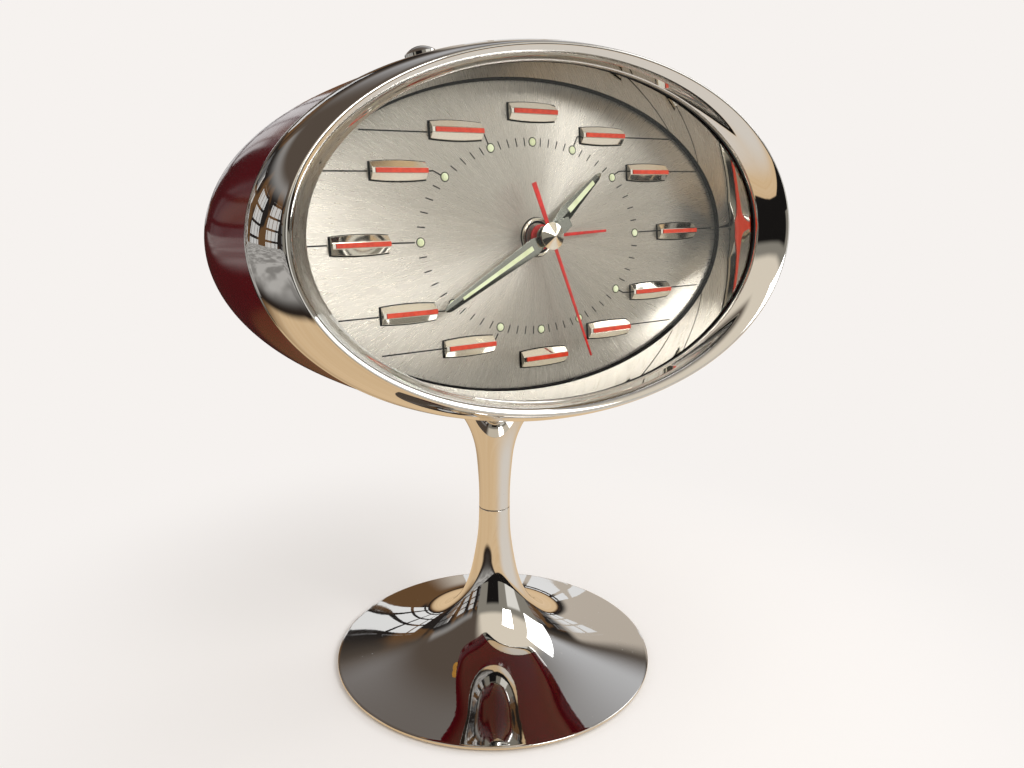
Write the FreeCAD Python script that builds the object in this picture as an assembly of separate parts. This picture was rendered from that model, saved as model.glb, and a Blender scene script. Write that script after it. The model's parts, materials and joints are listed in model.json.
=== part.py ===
import FreeCAD, Part
import math
import os

Vector = FreeCAD.Vector
os.makedirs("parts", exist_ok=True)

# Table alarm clock: an oval head on a trumpet stand, with a wind-up movement.
# The origin is the centre of the base on the table, +Z up, and the dial faces -Y.
# Head pieces are drawn flat first: x to the right, y up the dial, z out of the dial.

# Stand
BASE_RADIUS = 48.1
BASE_SHEET = 0.8
BASE_RIM_Z = 1.6
SEAM_Z = 49.0
WAIST_RADIUS = 4.6
NECK_WALL = 1.1
# Outline of the lower trumpet from the seam to the rim: radius and height of the outer face
TRUMPET_OUTLINE = [(4.9, 40.8), (5.8, 34.2), (7.1, 27.6), (8.6, 22.8), (11.0, 18.2), (14.0, 14.6),
                   (18.0, 11.2), (24.0, 7.9), (32.0, 5.1), (40.0, 3.2)]
# Outline of the upper stem from the seam to the head
STEM_OUTLINE = [(4.6, 53.8), (5.05, 61.8), (5.8, 68.0), (7.0, 72.3), (8.7, 76.0),
                (11.6, 79.9), (14.8, 82.8)]
STEM_TOP_RADIUS = 17.5
STEM_RIM_Z = 84.6
STEM_TOP_Z = 88.0
SPIGOT_LENGTH = 6.0
ROD_RADIUS = 2.0
ROD_GAP = 0.3
NUT_FLATS = 7.0
NUT_HEIGHT = 3.2
CLAMP_RADIUS = 12.6
CLAMP_GAP = 0.25
WASHER_THICKNESS = 1.2
ROD_STICKOUT = 1.0
SADDLE_RADIUS = 11.0
SADDLE_HEIGHT = 4.0
SEAT_CLEARANCE = 0.05
BALLAST_RADIUS = 26.0
BALLAST_BORE = 9.0
BALLAST_HEIGHT = 4.0
FELT_THICKNESS = 1.0
FELT_INSET = 1.4

# Head
HEAD_Y = -19.3
HEAD_Z = 130.1
HEAD_TILT = 6.5
JOINT_A = 77.4
JOINT_B = 45.0
JOINT_Z = 8.5
# The ridge steps in from the joint, the glass's seat from the ridge and the dial from the seat
RIDGE_STEP_A = 3.5
RIDGE_STEP_B = 2.1
SEAT_STEP_A = 6.6
SEAT_STEP_B = 2.9
DIAL_STEP_A = 1.0
DIAL_STEP_B = 1.3
RIDGE_A = JOINT_A - RIDGE_STEP_A
RIDGE_B = JOINT_B - RIDGE_STEP_B
RIDGE_Z = 21.0
SEAT_A = RIDGE_A - SEAT_STEP_A
SEAT_B = RIDGE_B - SEAT_STEP_B
SEAT_Z = 15.2
DIAL_A = SEAT_A - DIAL_STEP_A
DIAL_B = SEAT_B - DIAL_STEP_B
DIAL_MARGIN = 1.0
DIAL_THICKNESS = 0.5
BEZEL_PROUD = 0.3
BEZEL_WALL = 1.2
SHELL_WALL = 2.0
SHELL_DEPTH = 69.8
SHELL_POWER = 4.64
SHELL_ROOT = 2.83
SHELL_RISE = 0.04
SHELL_CUT = 56.5
GLASS_THICKNESS = 2.0
GLASS_GAP = 0.15
GASKET_THICKNESS = 0.6
REFLECTOR_WALL = 0.5
REFLECTOR_FLARE = 0.6
LIP_THICKNESS = 0.8
GLASS_MARGIN = 1.8
RIDGE_ROUND = 0.8
RIDGE_CROWN = 0.5
BEZEL_BULGE = 0.7
TONGUE_GAP = 0.15
TONGUE_LENGTH = 3.0
LEDGE_THICKNESS = 1.5
EAR_INSET = 7.9
EAR_SCREWS = [(EAR_INSET - JOINT_A, 0.0), (JOINT_A - EAR_INSET, 0.0)]
BOSS_RADIUS = 3.5
BOSS_DEPTH = 9.0

# Dial furniture
MARKER_LENGTH = 14.2
MARKER_WIDTH = 4.6
MARKER_EDGE = 0.7
MARKER_HEIGHT = 1.7
MARKER_BULGE = 0.35
STRIPE_WIDTH = 1.1
STRIPE_HEIGHT = 0.25
STRIPE_INSET = 0.6
# Centres of the hour markers in one quarter of the dial: x and y
MARKER_PLACES = [(0.0, 31.0), (22.5, 25.8), (38.5, 16.4), (49.4, 0.0)]
TRACK_A = 33.8
TRACK_B = 23.8
DOT_RADIUS = 1.15
DOT_HEIGHT = 0.15
DIAL_HOLE = 2.3
DIAL_FOOT_RADIUS = 1.4
DIAL_FEET = [(-28.0, 24.0), (28.0, 26.5), (17.0, -23.5)]
COLLAR_RADIUS = 4.9
COLLAR_WIDTH = 1.3
COLLAR_HEIGHT = 0.8

# Hands: turn clockwise from twelve in degrees, reach, height above the dial
HOUR_TURN = 50.2
MINUTE_TURN = 242.4
SECOND_TURN = 160.3
ALARM_TURN = 87.6
HAND_THICKNESS = 0.35
HOUR_REACH = 24.5
MINUTE_REACH = 35.2
SECOND_REACH = 33.5
SECOND_TAIL = 14.0
ALARM_REACH = 21.7
ALARM_HAND_Z = 1.8
HOUR_HAND_Z = 3.7
MINUTE_HAND_Z = 5.1
SECOND_HAND_Z = 6.3
SECOND_THICKNESS = 0.25
LUME_THICKNESS = 0.1
HAND_TIP = 1.2
# Half widths along each hand, from its middle to its tip
HOUR_TAIL = 5.5
HOUR_NECK = 4.0
HOUR_SHOULDER = 8.9
HOUR_HALVES = [1.9, 1.6, 1.3, 2.0, 0.85, 0.4]
HOUR_LUME_START = 1.0
HOUR_LUME_END = 3.5
HOUR_LUME_HALVES = [0.6, 0.35]
MINUTE_TAIL = 7.8
MINUTE_WAIST = 5.0
MINUTE_NECK = 2.0
MINUTE_SHOULDER = 5.0
MINUTE_HALVES = [1.4, 1.9, 1.3, 1.3, 2.2, 0.95, 0.5]
MINUTE_LUME_START = 0.6
MINUTE_LUME_END = 5.5
MINUTE_LUME_HALVES = [0.55, 0.3]
SECOND_HALVES = [0.7, 0.45, 0.28]
ALARM_HALVES = [0.55, 0.32]
HOUR_BOSS = 2.7
MINUTE_BOSS = 2.6
SECOND_BOSS = 2.0
ALARM_BOSS = 3.2
HUB_RADIUS = 4.0
HUB_EDGE = 0.4
HUB_HEIGHT = 1.7
HUB_FACETS = 20
HUB_TURN = 8.0

# Movement: plates, arbors and wheels
PLATE_THICKNESS = 1.3
FRONT_PLATE_Z = -7.0
PLATE_SPACE = 18.5
PLATE_RIGHT = 41.0
PLATE_LEFT = -51.0
PLATE_TOP = 33.0
PLATE_BOTTOM = -27.0
PLATE_CORNER = 8.0
PLATE_GAP = 0.5
PILLAR_RADIUS = 2.2
PILLAR_INSET = 5.0
SCREW_RADIUS = 1.2
SCREW_HEAD_RADIUS = 2.2
SCREW_HEAD_HEIGHT = 1.2
SCREW_SLOT_DEPTH = 0.54
ARBOR_RADIUS = 0.6
PIVOT_RADIUS = 0.35
THROUGH_RADIUS = 0.8
PIVOT_GAP = 0.06
SECOND_ARBOR_RADIUS = 0.4
TUBE_GAP = 0.06
TUBE_WALL = 0.45
WHEEL_THICKNESS = 0.8
PINION_REACH = 0.4
DEDENDUM = 1.25
SHOULDER_RISE = 0.62
SHOULDER_WIDTH = 0.72
TIP_WIDTH = 0.25
WHEEL_SHARE = 0.42
WHEEL_ADDENDUM = 0.95
WHEEL_HUB = 2.6
WHEEL_ARMS = 5
ARM_WIDTH = 1.3
RIM_WIDTH = 1.3
PINION_SHARE = 0.34
PINION_ADDENDUM = 0.75
CENTRE_TEETH = 64
THIRD_PINION_TEETH = 8
THIRD_TEETH = 60
SECOND_PINION_TEETH = 8
SECOND_TEETH = 64
ESCAPE_PINION_TEETH = 8
ESCAPE_TEETH = 15
ESCAPE_RADIUS = 5.0
TRAIN_MODULE = 0.36
GREAT_TEETH = 72
CENTRE_PINION_TEETH = 10
GREAT_MODULE = 0.5
CANNON_TEETH = 12
MINUTE_WHEEL_TEETH = 36
MINUTE_PINION_TEETH = 10
HOUR_TEETH = 40
MOTION_MODULE = 0.6
ALARM_GREAT_TEETH = 60
ALARM_PINION_TEETH = 8
ALARM_SET_PINION_TEETH = 10
ALARM_WHEEL_TEETH = 40
VERGE_TEETH = 18
VERGE_RADIUS = 6.0
SPRING_RADIUS = 14.0
SPRING_HEIGHT = 6.0
SPRING_STRIP = 0.45
BALANCE_RADIUS = 7.5
BALANCE_RIM = 1.2
BALANCE_HEIGHT = 1.4
BALANCE_Z = -16.2
END_SHAKE = 0.15
THIN_WHEEL = 0.6
POINT_DEPTH = 1.2
POINT_SHARE = 0.16
POINT_TIP = 0.03
PALLET_PIN = 0.22
PALLET_GAP = 0.06
LEVER_DROP = 1.3
IMPULSE_RADIUS = 1.6
IMPULSE_PIN = 0.25
HAIRSPRING_Z = -18.0
HAIRSPRING_OUTER = 5.2
HAIRSPRING_TURNS = 5
HAIRSPRING_STRIP = 0.12
HAIRSPRING_HEIGHT = 0.8
STUD_RADIUS = 0.5
STUD_GAP = 0.2
STUD_DIRECTION = 120.0
SPIRAL_STEPS = 24
SPRING_TURNS = 7
SPRING_GAP = 0.3
DRUM_RADIUS = 2.6
VERGE_PIN_GAP = 1.0
ALARM_WHEEL_DROP = 1.4
HOUR_WHEEL_DROP = 1.6
MINUTE_WHEEL_DROP = 1.9
CENTRE_WHEEL_DROP = 1.6
GREAT_WHEEL_DROP = 2.7
SPRING_DROP = 0.4
BRIDGE_DROP = 2.8
THIRD_WHEEL_DROP = 2.9
TRAIN_STEP = 3.3
LEVER_HUB = 1.3
LEVER_ARM = 1.0
FORK_WIDTH = 1.4
FORK_GAP = 0.18
BALANCE_ARM = 1.4
COLLET_WALL = 0.5
VERGE_SPAN = 35.0
PILLAR_THREAD = 3.0
BRIDGE_REACH = 13.7
BRIDGE_WIDTH = 3.0
BRIDGE_THICKNESS = 1.0
BRIDGE_HUB = 2.4
BRIDGE_DIRECTIONS = [195.0, 95.0]
PALLET_SPAN = 30.0
BELL_RADIUS = 15.0
BELL_DEPTH = 7.0
BELL_WALL = 0.9
BELL_GAP = 0.8
BELL_TOP = -30.6
BELL_POST_RADIUS = 1.8
HAMMER_RADIUS = 2.0
HAMMER_ARM = 1.6
HAMMER_THICKNESS = 0.9
HAMMER_STANDOFF = 0.75

# Places on the movement: x and y on the dial, or distance and direction from the centre
GREAT_DIRECTION = -10.0
THIRD_DIRECTION = 150.0
ESCAPE_DIRECTION = 60.0
MINUTE_ARBOR_DIRECTION = 270.0
ALARM_ARBOR_DIRECTION = 215.0
ALARM_GREAT_PLACE = (-34.0, -8.0)
VERGE_DIRECTION = 100.0
HAMMER_ARBOR_PLACE = (-38.0, 19.0)
BELL_PLACE = (-14.0, 20.0)
LEVER_DIRECTION = 40.0
FORK_DIRECTION = 25.0
LEVER_LENGTH = 12.0

# Back of the clock
COVER_THICKNESS = 1.2
COVER_SINK = 0.4
COVER_LEDGE = 5.2
COVER_GAP = 0.2
KEY_WIDTH = 15.0
KEY_HEIGHT = 9.0
KEY_THICKNESS = 1.6
KEY_HUB_WALL = 1.2
KEY_WEB_SHARE = 0.7
KNOB_RADIUS = 5.0
KNOB_HEIGHT = 6.0
KNOB_RIDGES = 24
STEM_RADIUS = 1.6
STEM_DEPTH = 5.0
KNOB_STANDOFF = 1.5
KNOB_GROOVE = 0.4
# Ends of a rib and of a groove, as shares of one ridge's turn
KNOB_RIB_SHARES = [0.5, 0.62, 0.88]
STEM_GAP = 0.4
COVER_SCREW_TURNS = [0.0, 125.0, 235.0]
SLOT_WIDTH = 0.6
REGULATOR_REACH = 7.0
REGULATOR_DIRECTION = 60.0
REGULATOR_POST = 0.9
REGULATOR_HUB = 2.4
REGULATOR_THICKNESS = 0.8
REGULATOR_SWING = 12.0
SLOT_SHARES = [-1.0, -0.75, -0.5, -0.25, 0.0, 0.25, 0.5, 0.75, 1.0]

# Alarm stop button on the shell
BUTTON_X = -26.0
BUTTON_RADIUS = 3.8
BUTTON_HEIGHT = 3.4
BUTTON_TRAVEL = 1.6
BUTTON_GAP = 0.3
BUTTON_SPRING_WIRE = 0.5
BUTTON_FLANGE = 0.9
BUTTON_FLANGE_REACH = 1.2
BUTTON_FLANGE_DROP = 0.5
BUTTON_DOME = 1.5
BUTTON_SPRING_RADIUS = 2.4
BUTTON_SPRING_SOLID = 2.5
SPRING_PAD = 0.8
SPRING_TAB_WIDTH = 4.0
SPRING_TAB_LENGTH = 16.0
BUTTON_SPRING_TURNS = 3
SPRING_WIRE_SIDES = 12


def cylinder(radius, low, high, place=(0.0, 0.0)):
    """Upright cylinder between two heights."""
    return Part.makeCylinder(radius, high - low, Vector(place[0], place[1], low))


def tube(outer, inner, low, high, place=(0.0, 0.0)):
    """Upright tube between two heights."""
    return cylinder(outer, low, high, place).cut(cylinder(inner, low - 1, high + 1, place))


def box(x_low, x_high, y_low, y_high, low, high):
    """Box between two corners."""
    return Part.makeBox(x_high - x_low, y_high - y_low, high - low, Vector(x_low, y_low, low))


def hexagon(flats, low, high, place=(0.0, 0.0)):
    """Hexagonal prism across its flats."""
    corner = flats / math.sqrt(3)
    points = [polar(corner, 60 * k, place) for k in range(6)]
    return prism(points, low, high)


def polar(distance, degrees, centre=(0.0, 0.0)):
    """Point at a distance and direction from a centre, as x and y."""
    angle = math.radians(degrees)
    return (centre[0] + distance * math.cos(angle), centre[1] + distance * math.sin(angle))


def prism(points, low, high):
    """Flat outline raised between two heights."""
    corners = [Vector(x, y, low) for x, y in points]
    face = Part.Face(Part.makePolygon(corners + [corners[0]]))
    return face.extrude(Vector(0, 0, high - low))


def revolved(wire_edges):
    """Solid of revolution about Z from the edges of a closed outline in the XZ plane."""
    face = Part.Face(Part.Wire(wire_edges))
    return face.revolve(Vector(0, 0, 0), Vector(0, 0, 1), 360)


def curve_through(points):
    """Smooth edge through radius and height points in the XZ plane."""
    spline = Part.BSplineCurve()
    spline.interpolate([Vector(r, 0, z) for r, z in points])
    return spline.toShape()


def straight(start, end):
    """Straight edge between two radius and height points in the XZ plane."""
    return Part.makeLine(Vector(start[0], 0, start[1]), Vector(end[0], 0, end[1]))


def ellipse(a, b, z, y=0.0):
    """Closed elliptical wire in a plane parallel to the dial."""
    curve = Part.Ellipse(Vector(0, y, z), a, b)
    return Part.Wire([curve.toShape()])


def loft(sections, ruled=False):
    """Solid through ellipses, each given as a, b, z and an optional y of its centre."""
    return Part.makeLoft([ellipse(*section) for section in sections], True, ruled)


def oval(a, b, low, high, y=0.0):
    """Elliptical plate between two heights."""
    return Part.Face(ellipse(a, b, low, y)).extrude(Vector(0, 0, high - low))


def turned(shape, degrees, centre=(0.0, 0.0)):
    """Copy of a shape turned about an upright axis."""
    copy = shape.copy()
    copy.rotate(Vector(centre[0], centre[1], 0), Vector(0, 0, 1), degrees)
    return copy


def moved(shape, x, y, z=0.0):
    """Copy of a shape moved to a new place."""
    copy = shape.copy()
    copy.translate(Vector(x, y, z))
    return copy


def fused(shapes):
    """One solid from several that meet."""
    return shapes[0].multiFuse(shapes[1:]).removeSplitter()


def on_stand(shape):
    """Copy of a head piece tilted back and lifted to its place on the stand."""
    copy = shape.copy()
    copy.rotate(Vector(0, 0, 0), Vector(1, 0, 0), 90 - HEAD_TILT)
    copy.translate(Vector(0, HEAD_Y, HEAD_Z))
    return copy


def save(name, *shapes):
    """Writes one node, of one solid or of several like ones."""
    solids = [solid for shape in shapes for solid in shape.Solids]
    body = solids[0] if len(solids) == 1 else Part.makeCompound(solids)
    body.exportStep("parts/" + name + ".step")


def save_head(name, *shapes):
    """Writes one node of the head in its place on the stand."""
    save(name, *[on_stand(shape) for shape in shapes])


# Toothed wheels

def toothed(teeth, module, low, high, place, thick_share, addendum, phase=0.0):
    """Wheel or pinion with radial flanks and pointed-round tips.

    Each tooth takes thick_share of the pitch at the pitch circle, and phase turns the wheel
    in shares of one tooth.
    """
    pitch_radius = teeth * module / 2
    tip = pitch_radius + addendum * module
    shoulder = pitch_radius + SHOULDER_RISE * addendum * module
    step = 360.0 / teeth
    half = step * thick_share / 2
    flank = [(pitch_radius - DEDENDUM * module, half), (pitch_radius, half),
             (shoulder, half * SHOULDER_WIDTH), (tip, half * TIP_WIDTH)]
    points = []
    for k in range(teeth):
        middle = step * (k + phase)
        points += [polar(radius, middle - turn, place) for radius, turn in flank]
        points += [polar(radius, middle + turn, place) for radius, turn in flank[::-1]]
    return prism(points, low, high)


def wheel(teeth, module, low, high, place=(0.0, 0.0), phase=0.0):
    """Large wheel, with windows cut out between its hub and its rim."""
    blank = toothed(teeth, module, low, high, place, WHEEL_SHARE, WHEEL_ADDENDUM, phase)
    rim = teeth * module / 2 - DEDENDUM * module - RIM_WIDTH
    window = tube(rim, WHEEL_HUB, low - 1, high + 1, place)
    for k in range(WHEEL_ARMS):
        arm = box(place[0], place[0] + rim + 1, place[1] - ARM_WIDTH / 2, place[1] + ARM_WIDTH / 2,
                  low - 2, high + 2)
        window = window.cut(turned(arm, 360.0 * k / WHEEL_ARMS, place))
    return blank.cut(window)


def pinion(teeth, module, low, high, place=(0.0, 0.0), phase=0.0):
    """Small pinion with narrow leaves."""
    return toothed(teeth, module, low, high, place, PINION_SHARE, PINION_ADDENDUM, phase)


def mesh_phase(teeth, direction, offset=0.0):
    """Phase in tooth shares that puts a tooth, or with 0.5 a gap, at a direction."""
    return (direction * teeth / 360.0 + offset) % 1.0


def centre_distance(first, second, module):
    """Distance between the arbors of a wheel and its pinion."""
    return (first + second) * module / 2


# Heights through the movement, measured out of the dial

DIAL_BACK = -DIAL_THICKNESS
FRONT_BACK = FRONT_PLATE_Z - PLATE_THICKNESS
BACK_FRONT = FRONT_BACK - PLATE_SPACE
BACK_BACK = BACK_FRONT - PLATE_THICKNESS
ALARM_WHEEL_Z = DIAL_BACK - ALARM_WHEEL_DROP
HOUR_WHEEL_Z = ALARM_WHEEL_Z - HOUR_WHEEL_DROP
MINUTE_WHEEL_Z = HOUR_WHEEL_Z - MINUTE_WHEEL_DROP
CENTRE_WHEEL_Z = FRONT_BACK - CENTRE_WHEEL_DROP
GREAT_WHEEL_Z = CENTRE_WHEEL_Z - GREAT_WHEEL_DROP
SPRING_TOP = GREAT_WHEEL_Z - SPRING_DROP
BRIDGE_Z = GREAT_WHEEL_Z - BRIDGE_DROP
THIRD_WHEEL_Z = BRIDGE_Z - THIRD_WHEEL_DROP
SECOND_WHEEL_Z = THIRD_WHEEL_Z - TRAIN_STEP
ESCAPE_WHEEL_Z = SECOND_WHEEL_Z - TRAIN_STEP
COVER_BACK = JOINT_Z - SHELL_CUT + COVER_SINK
COVER_FRONT = COVER_BACK + COVER_THICKNESS

# Radii of the tubes that turn inside one another at the centre

CANNON_INNER = SECOND_ARBOR_RADIUS + TUBE_GAP
CANNON_OUTER = CANNON_INNER + TUBE_WALL
HOUR_INNER = CANNON_OUTER + TUBE_GAP
HOUR_OUTER = HOUR_INNER + TUBE_WALL
ALARM_INNER = HOUR_OUTER + TUBE_GAP
ALARM_OUTER = ALARM_INNER + TUBE_WALL

# Places of the arbors

CENTRE = (0.0, 0.0)
TRAIN_DISTANCE = centre_distance(CENTRE_TEETH, THIRD_PINION_TEETH, TRAIN_MODULE)
SECOND_MODULE = 2 * TRAIN_DISTANCE / (THIRD_TEETH + SECOND_PINION_TEETH)
ESCAPE_MODULE = 2 * TRAIN_DISTANCE / (SECOND_TEETH + ESCAPE_PINION_TEETH)
MOTION_DISTANCE = centre_distance(CANNON_TEETH, MINUTE_WHEEL_TEETH, MOTION_MODULE)
HOUR_MODULE = 2 * MOTION_DISTANCE / (HOUR_TEETH + MINUTE_PINION_TEETH)
ALARM_SET_MODULE = 2 * MOTION_DISTANCE / (ALARM_WHEEL_TEETH + ALARM_SET_PINION_TEETH)
GREAT_PLACE = polar(centre_distance(GREAT_TEETH, CENTRE_PINION_TEETH, GREAT_MODULE), GREAT_DIRECTION)
THIRD_PLACE = polar(TRAIN_DISTANCE, THIRD_DIRECTION)
ESCAPE_PLACE = polar(TRAIN_DISTANCE, ESCAPE_DIRECTION)
MINUTE_PLACE = polar(MOTION_DISTANCE, MINUTE_ARBOR_DIRECTION)
ALARM_SET_PLACE = polar(MOTION_DISTANCE, ALARM_ARBOR_DIRECTION)
VERGE_PLACE = polar(centre_distance(ALARM_GREAT_TEETH, ALARM_PINION_TEETH, GREAT_MODULE),
                    VERGE_DIRECTION, ALARM_GREAT_PLACE)
PALLET_DISTANCE = ESCAPE_RADIUS / math.cos(math.radians(PALLET_SPAN))
PALLET_PLACE = polar(PALLET_DISTANCE, LEVER_DIRECTION, ESCAPE_PLACE)
BALANCE_PLACE = polar(LEVER_LENGTH, FORK_DIRECTION, PALLET_PLACE)


# Stand

def base_trumpet():
    """Spun lower half of the stand: a neck that flares into the round foot."""
    outline = trumpet_outline()
    inner = trumpet_inner_points()
    return revolved([curve_through(outline), straight(outline[-1], inner[-1]),
                     curve_through(inner[::-1]), straight(inner[0], outline[0])])


def upper_stem():
    """Upper half of the stand, flared to a saddle under the head, with a spigot below."""
    outline = [(WAIST_RADIUS, SEAM_Z)] + STEM_OUTLINE + [(STEM_TOP_RADIUS, STEM_RIM_Z)]
    top = (STEM_TOP_RADIUS, STEM_TOP_Z)
    bore = ROD_RADIUS + ROD_GAP
    spigot = WAIST_RADIUS - NECK_WALL - ROD_GAP
    foot = SEAM_Z - SPIGOT_LENGTH
    edges = [curve_through(outline), straight(outline[-1], top), straight(top, (bore, STEM_TOP_Z)),
             straight((bore, STEM_TOP_Z), (bore, foot)), straight((bore, foot), (spigot, foot)),
             straight((spigot, foot), (spigot, SEAM_Z)), straight((spigot, SEAM_Z), outline[0])]
    return revolved(edges).cut(on_stand(shell_block(-SEAT_CLEARANCE)))


def base_felt():
    """Round pad that closes the foot and rests on the table."""
    return cylinder(BASE_RADIUS - FELT_INSET, 0.0, FELT_THICKNESS)


def base_ballast():
    """Ring weight inside the foot, resting on the pad."""
    top = FELT_THICKNESS + BALLAST_HEIGHT
    return tube(BALLAST_RADIUS, BALLAST_BORE, FELT_THICKNESS, top)


def trumpet_outline():
    """Outer face of the lower trumpet from the seam to the rim, as radius and height."""
    return [(WAIST_RADIUS, SEAM_Z)] + TRUMPET_OUTLINE + [(BASE_RADIUS, BASE_RIM_Z)]


def trumpet_inner_points():
    """Inner face of the lower trumpet from the seam to the rim, as radius and height."""
    inner = [(r - NECK_WALL * (1 - r / BASE_RADIUS), z - BASE_SHEET) for r, z in trumpet_outline()]
    return [(WAIST_RADIUS - NECK_WALL, SEAM_Z)] + inner[1:]


def trumpet_inner_height(radius):
    """Height of the lower trumpet's inner face at a radius."""
    points = trumpet_inner_points()
    for near, far in zip(points, points[1:]):
        if near[0] <= radius <= far[0]:
            share = (radius - near[0]) / (far[0] - near[0])
            return near[1] + share * (far[1] - near[1])
    return points[-1][1]


def clamp_washer():
    """Dished washer that the nut pulls up into the flare of the foot."""
    top = trumpet_inner_height(CLAMP_RADIUS) - CLAMP_GAP
    return tube(CLAMP_RADIUS, ROD_RADIUS, top - WASHER_THICKNESS, top)


def tie_rod():
    """Threaded rod that runs up the stand into the head."""
    low = clamp_low() - NUT_HEIGHT - ROD_STICKOUT
    return cylinder(ROD_RADIUS, low, saddle_top() + NUT_HEIGHT + ROD_STICKOUT)


def clamp_low():
    """Height of the underside of the clamp washer."""
    return trumpet_inner_height(CLAMP_RADIUS) - CLAMP_GAP - WASHER_THICKNESS


def saddle_top():
    """Height of the flat top of the saddle inside the head."""
    return HEAD_Z + shell_floor() + SADDLE_HEIGHT


def tie_rod_nuts():
    """The nuts at both ends of the rod, under the clamp washer and on the saddle."""
    low = clamp_low()
    high = saddle_top()
    hole = cylinder(ROD_RADIUS, low - NUT_HEIGHT, high + NUT_HEIGHT)
    return [hexagon(NUT_FLATS, low - NUT_HEIGHT, low).cut(hole),
            hexagon(NUT_FLATS, high, high + NUT_HEIGHT).cut(hole)]


def saddle():
    """Block inside the head that follows the curve of the shell and takes the nut."""
    block = tube(SADDLE_RADIUS, ROD_RADIUS, HEAD_Z - JOINT_B - SHELL_WALL, saddle_top())
    return block.common(on_stand(shell_block(SHELL_WALL + SEAT_CLEARANCE)))


# Case of the head

def shell_scale(depth):
    """Share of the joint's size that the shell keeps at a depth behind the joint."""
    return (1 - (depth / SHELL_DEPTH) ** SHELL_POWER) ** (1 / SHELL_ROOT)


def shell_section(depth, inset):
    """Ellipse of the shell at a depth behind the joint, as a, b, z and y of its centre."""
    scale = shell_scale(max(depth, 0.0))
    rise = SHELL_RISE * depth
    return (JOINT_A * scale - inset, JOINT_B * scale - inset, JOINT_Z - depth, rise)


def shell_block(inset, start=0.0, end=SHELL_CUT):
    """Solid dome of the shell between two depths, smaller all round by the inset."""
    steps = 8
    depths = [start + (end - start) * k / steps for k in range(steps + 1)]
    return loft([shell_section(depth, inset) for depth in depths])


def shell_floor():
    """Height of the shell's inner floor over the stem, measured from the head's centre."""
    tilt = math.radians(HEAD_TILT)
    back = HEAD_Y / math.cos(tilt)
    depth = JOINT_Z - back
    y = SHELL_RISE * depth - JOINT_B * shell_scale(depth) + SHELL_WALL
    return y * math.cos(tilt) + back * math.sin(tilt)


def rear_shell():
    """Moulded dome behind the dial, open at the front and at the rear cover."""
    ledge = COVER_FRONT
    shell = shell_block(0.0).cut(shell_block(SHELL_WALL, -1.0, JOINT_Z - ledge - LEDGE_THICKNESS))
    wall_here = shell_section(SHELL_CUT, SHELL_WALL)
    opening = (wall_here[0] - COVER_LEDGE, wall_here[1] - COVER_LEDGE)
    back = JOINT_Z - SHELL_CUT
    shell = shell.cut(oval(opening[0], opening[1], back - 1, back + SHELL_CUT / 2, wall_here[3]))
    shell = shell.cut(oval(wall_here[0], wall_here[1], back - 1, ledge, wall_here[3]))
    shell = fused([shell] + boss_blocks())
    for place in EAR_SCREWS:
        shell = shell.cut(cylinder(SCREW_RADIUS, FRONT_BACK - BOSS_DEPTH, FRONT_BACK + 1, place))
    for place in cover_screw_places():
        shell = shell.cut(cylinder(SCREW_RADIUS, ledge - 1, ledge + LEDGE_THICKNESS + 1, place))
    for hole in regulator_slot(ledge - 1, ledge + LEDGE_THICKNESS + 1):
        shell = shell.cut(hole)
    shell = shell.cut(rod_hole())
    return shell.cut(button_hole())


def boss_blocks():
    """Bosses on the shell's side walls that take the movement's ears."""
    limit = shell_block(SHELL_WALL / 2)
    blocks = []
    for x, y in EAR_SCREWS:
        side = 1 if x > 0 else -1
        outer = side * JOINT_A
        low_x, high_x = min(x, outer), max(x, outer)
        boss = cylinder(BOSS_RADIUS, FRONT_BACK - BOSS_DEPTH, FRONT_BACK, (x, y))
        rib = box(low_x, high_x, y - BOSS_RADIUS, y + BOSS_RADIUS, FRONT_BACK - BOSS_DEPTH, FRONT_BACK)
        blocks.append(boss.fuse(rib).common(limit))
    return blocks


def rod_hole():
    """Upright hole through the shell's floor for the tie rod, in the head's own frame."""
    hole = cylinder(ROD_RADIUS + ROD_GAP, HEAD_Z - JOINT_B - SHELL_WALL - BOSS_DEPTH, HEAD_Z)
    return off_stand(hole)


def cover_screw_places():
    """Places of the rear cover's screws, on its ledge."""
    section = shell_section(SHELL_CUT, SHELL_WALL + COVER_LEDGE / 2)
    return [(section[0] * math.sin(math.radians(turn)),
             section[3] + section[1] * math.cos(math.radians(turn))) for turn in COVER_SCREW_TURNS]


def rear_cover():
    """Oval plate that closes the back, with holes for the stems and the screws."""
    section = shell_section(SHELL_CUT, SHELL_WALL + COVER_GAP)
    cover = oval(section[0], section[1], COVER_BACK, COVER_FRONT, section[3])
    for place in [GREAT_PLACE, ALARM_GREAT_PLACE, MINUTE_PLACE, ALARM_SET_PLACE]:
        cover = cover.cut(cylinder(STEM_RADIUS + STEM_GAP, COVER_BACK - 1, COVER_FRONT + 1, place))
    for place in cover_screw_places():
        cover = cover.cut(cylinder(SCREW_RADIUS, COVER_BACK - 1, COVER_FRONT + 1, place))
    for hole in regulator_slot(COVER_BACK - 1, COVER_FRONT + 1):
        cover = cover.cut(hole)
    return cover


def regulator_slot(low, high):
    """Holes side by side that form the arc in which the regulator's post moves."""
    return [cylinder(REGULATOR_POST + STEM_GAP, low, high, regulator_post(REGULATOR_SWING * share))
            for share in SLOT_SHARES]


def cover_screws():
    """Screws that hold the rear cover."""
    return [screw(place, COVER_BACK, -1, COVER_THICKNESS + LEDGE_THICKNESS) for place in
            cover_screw_places()]


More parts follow.
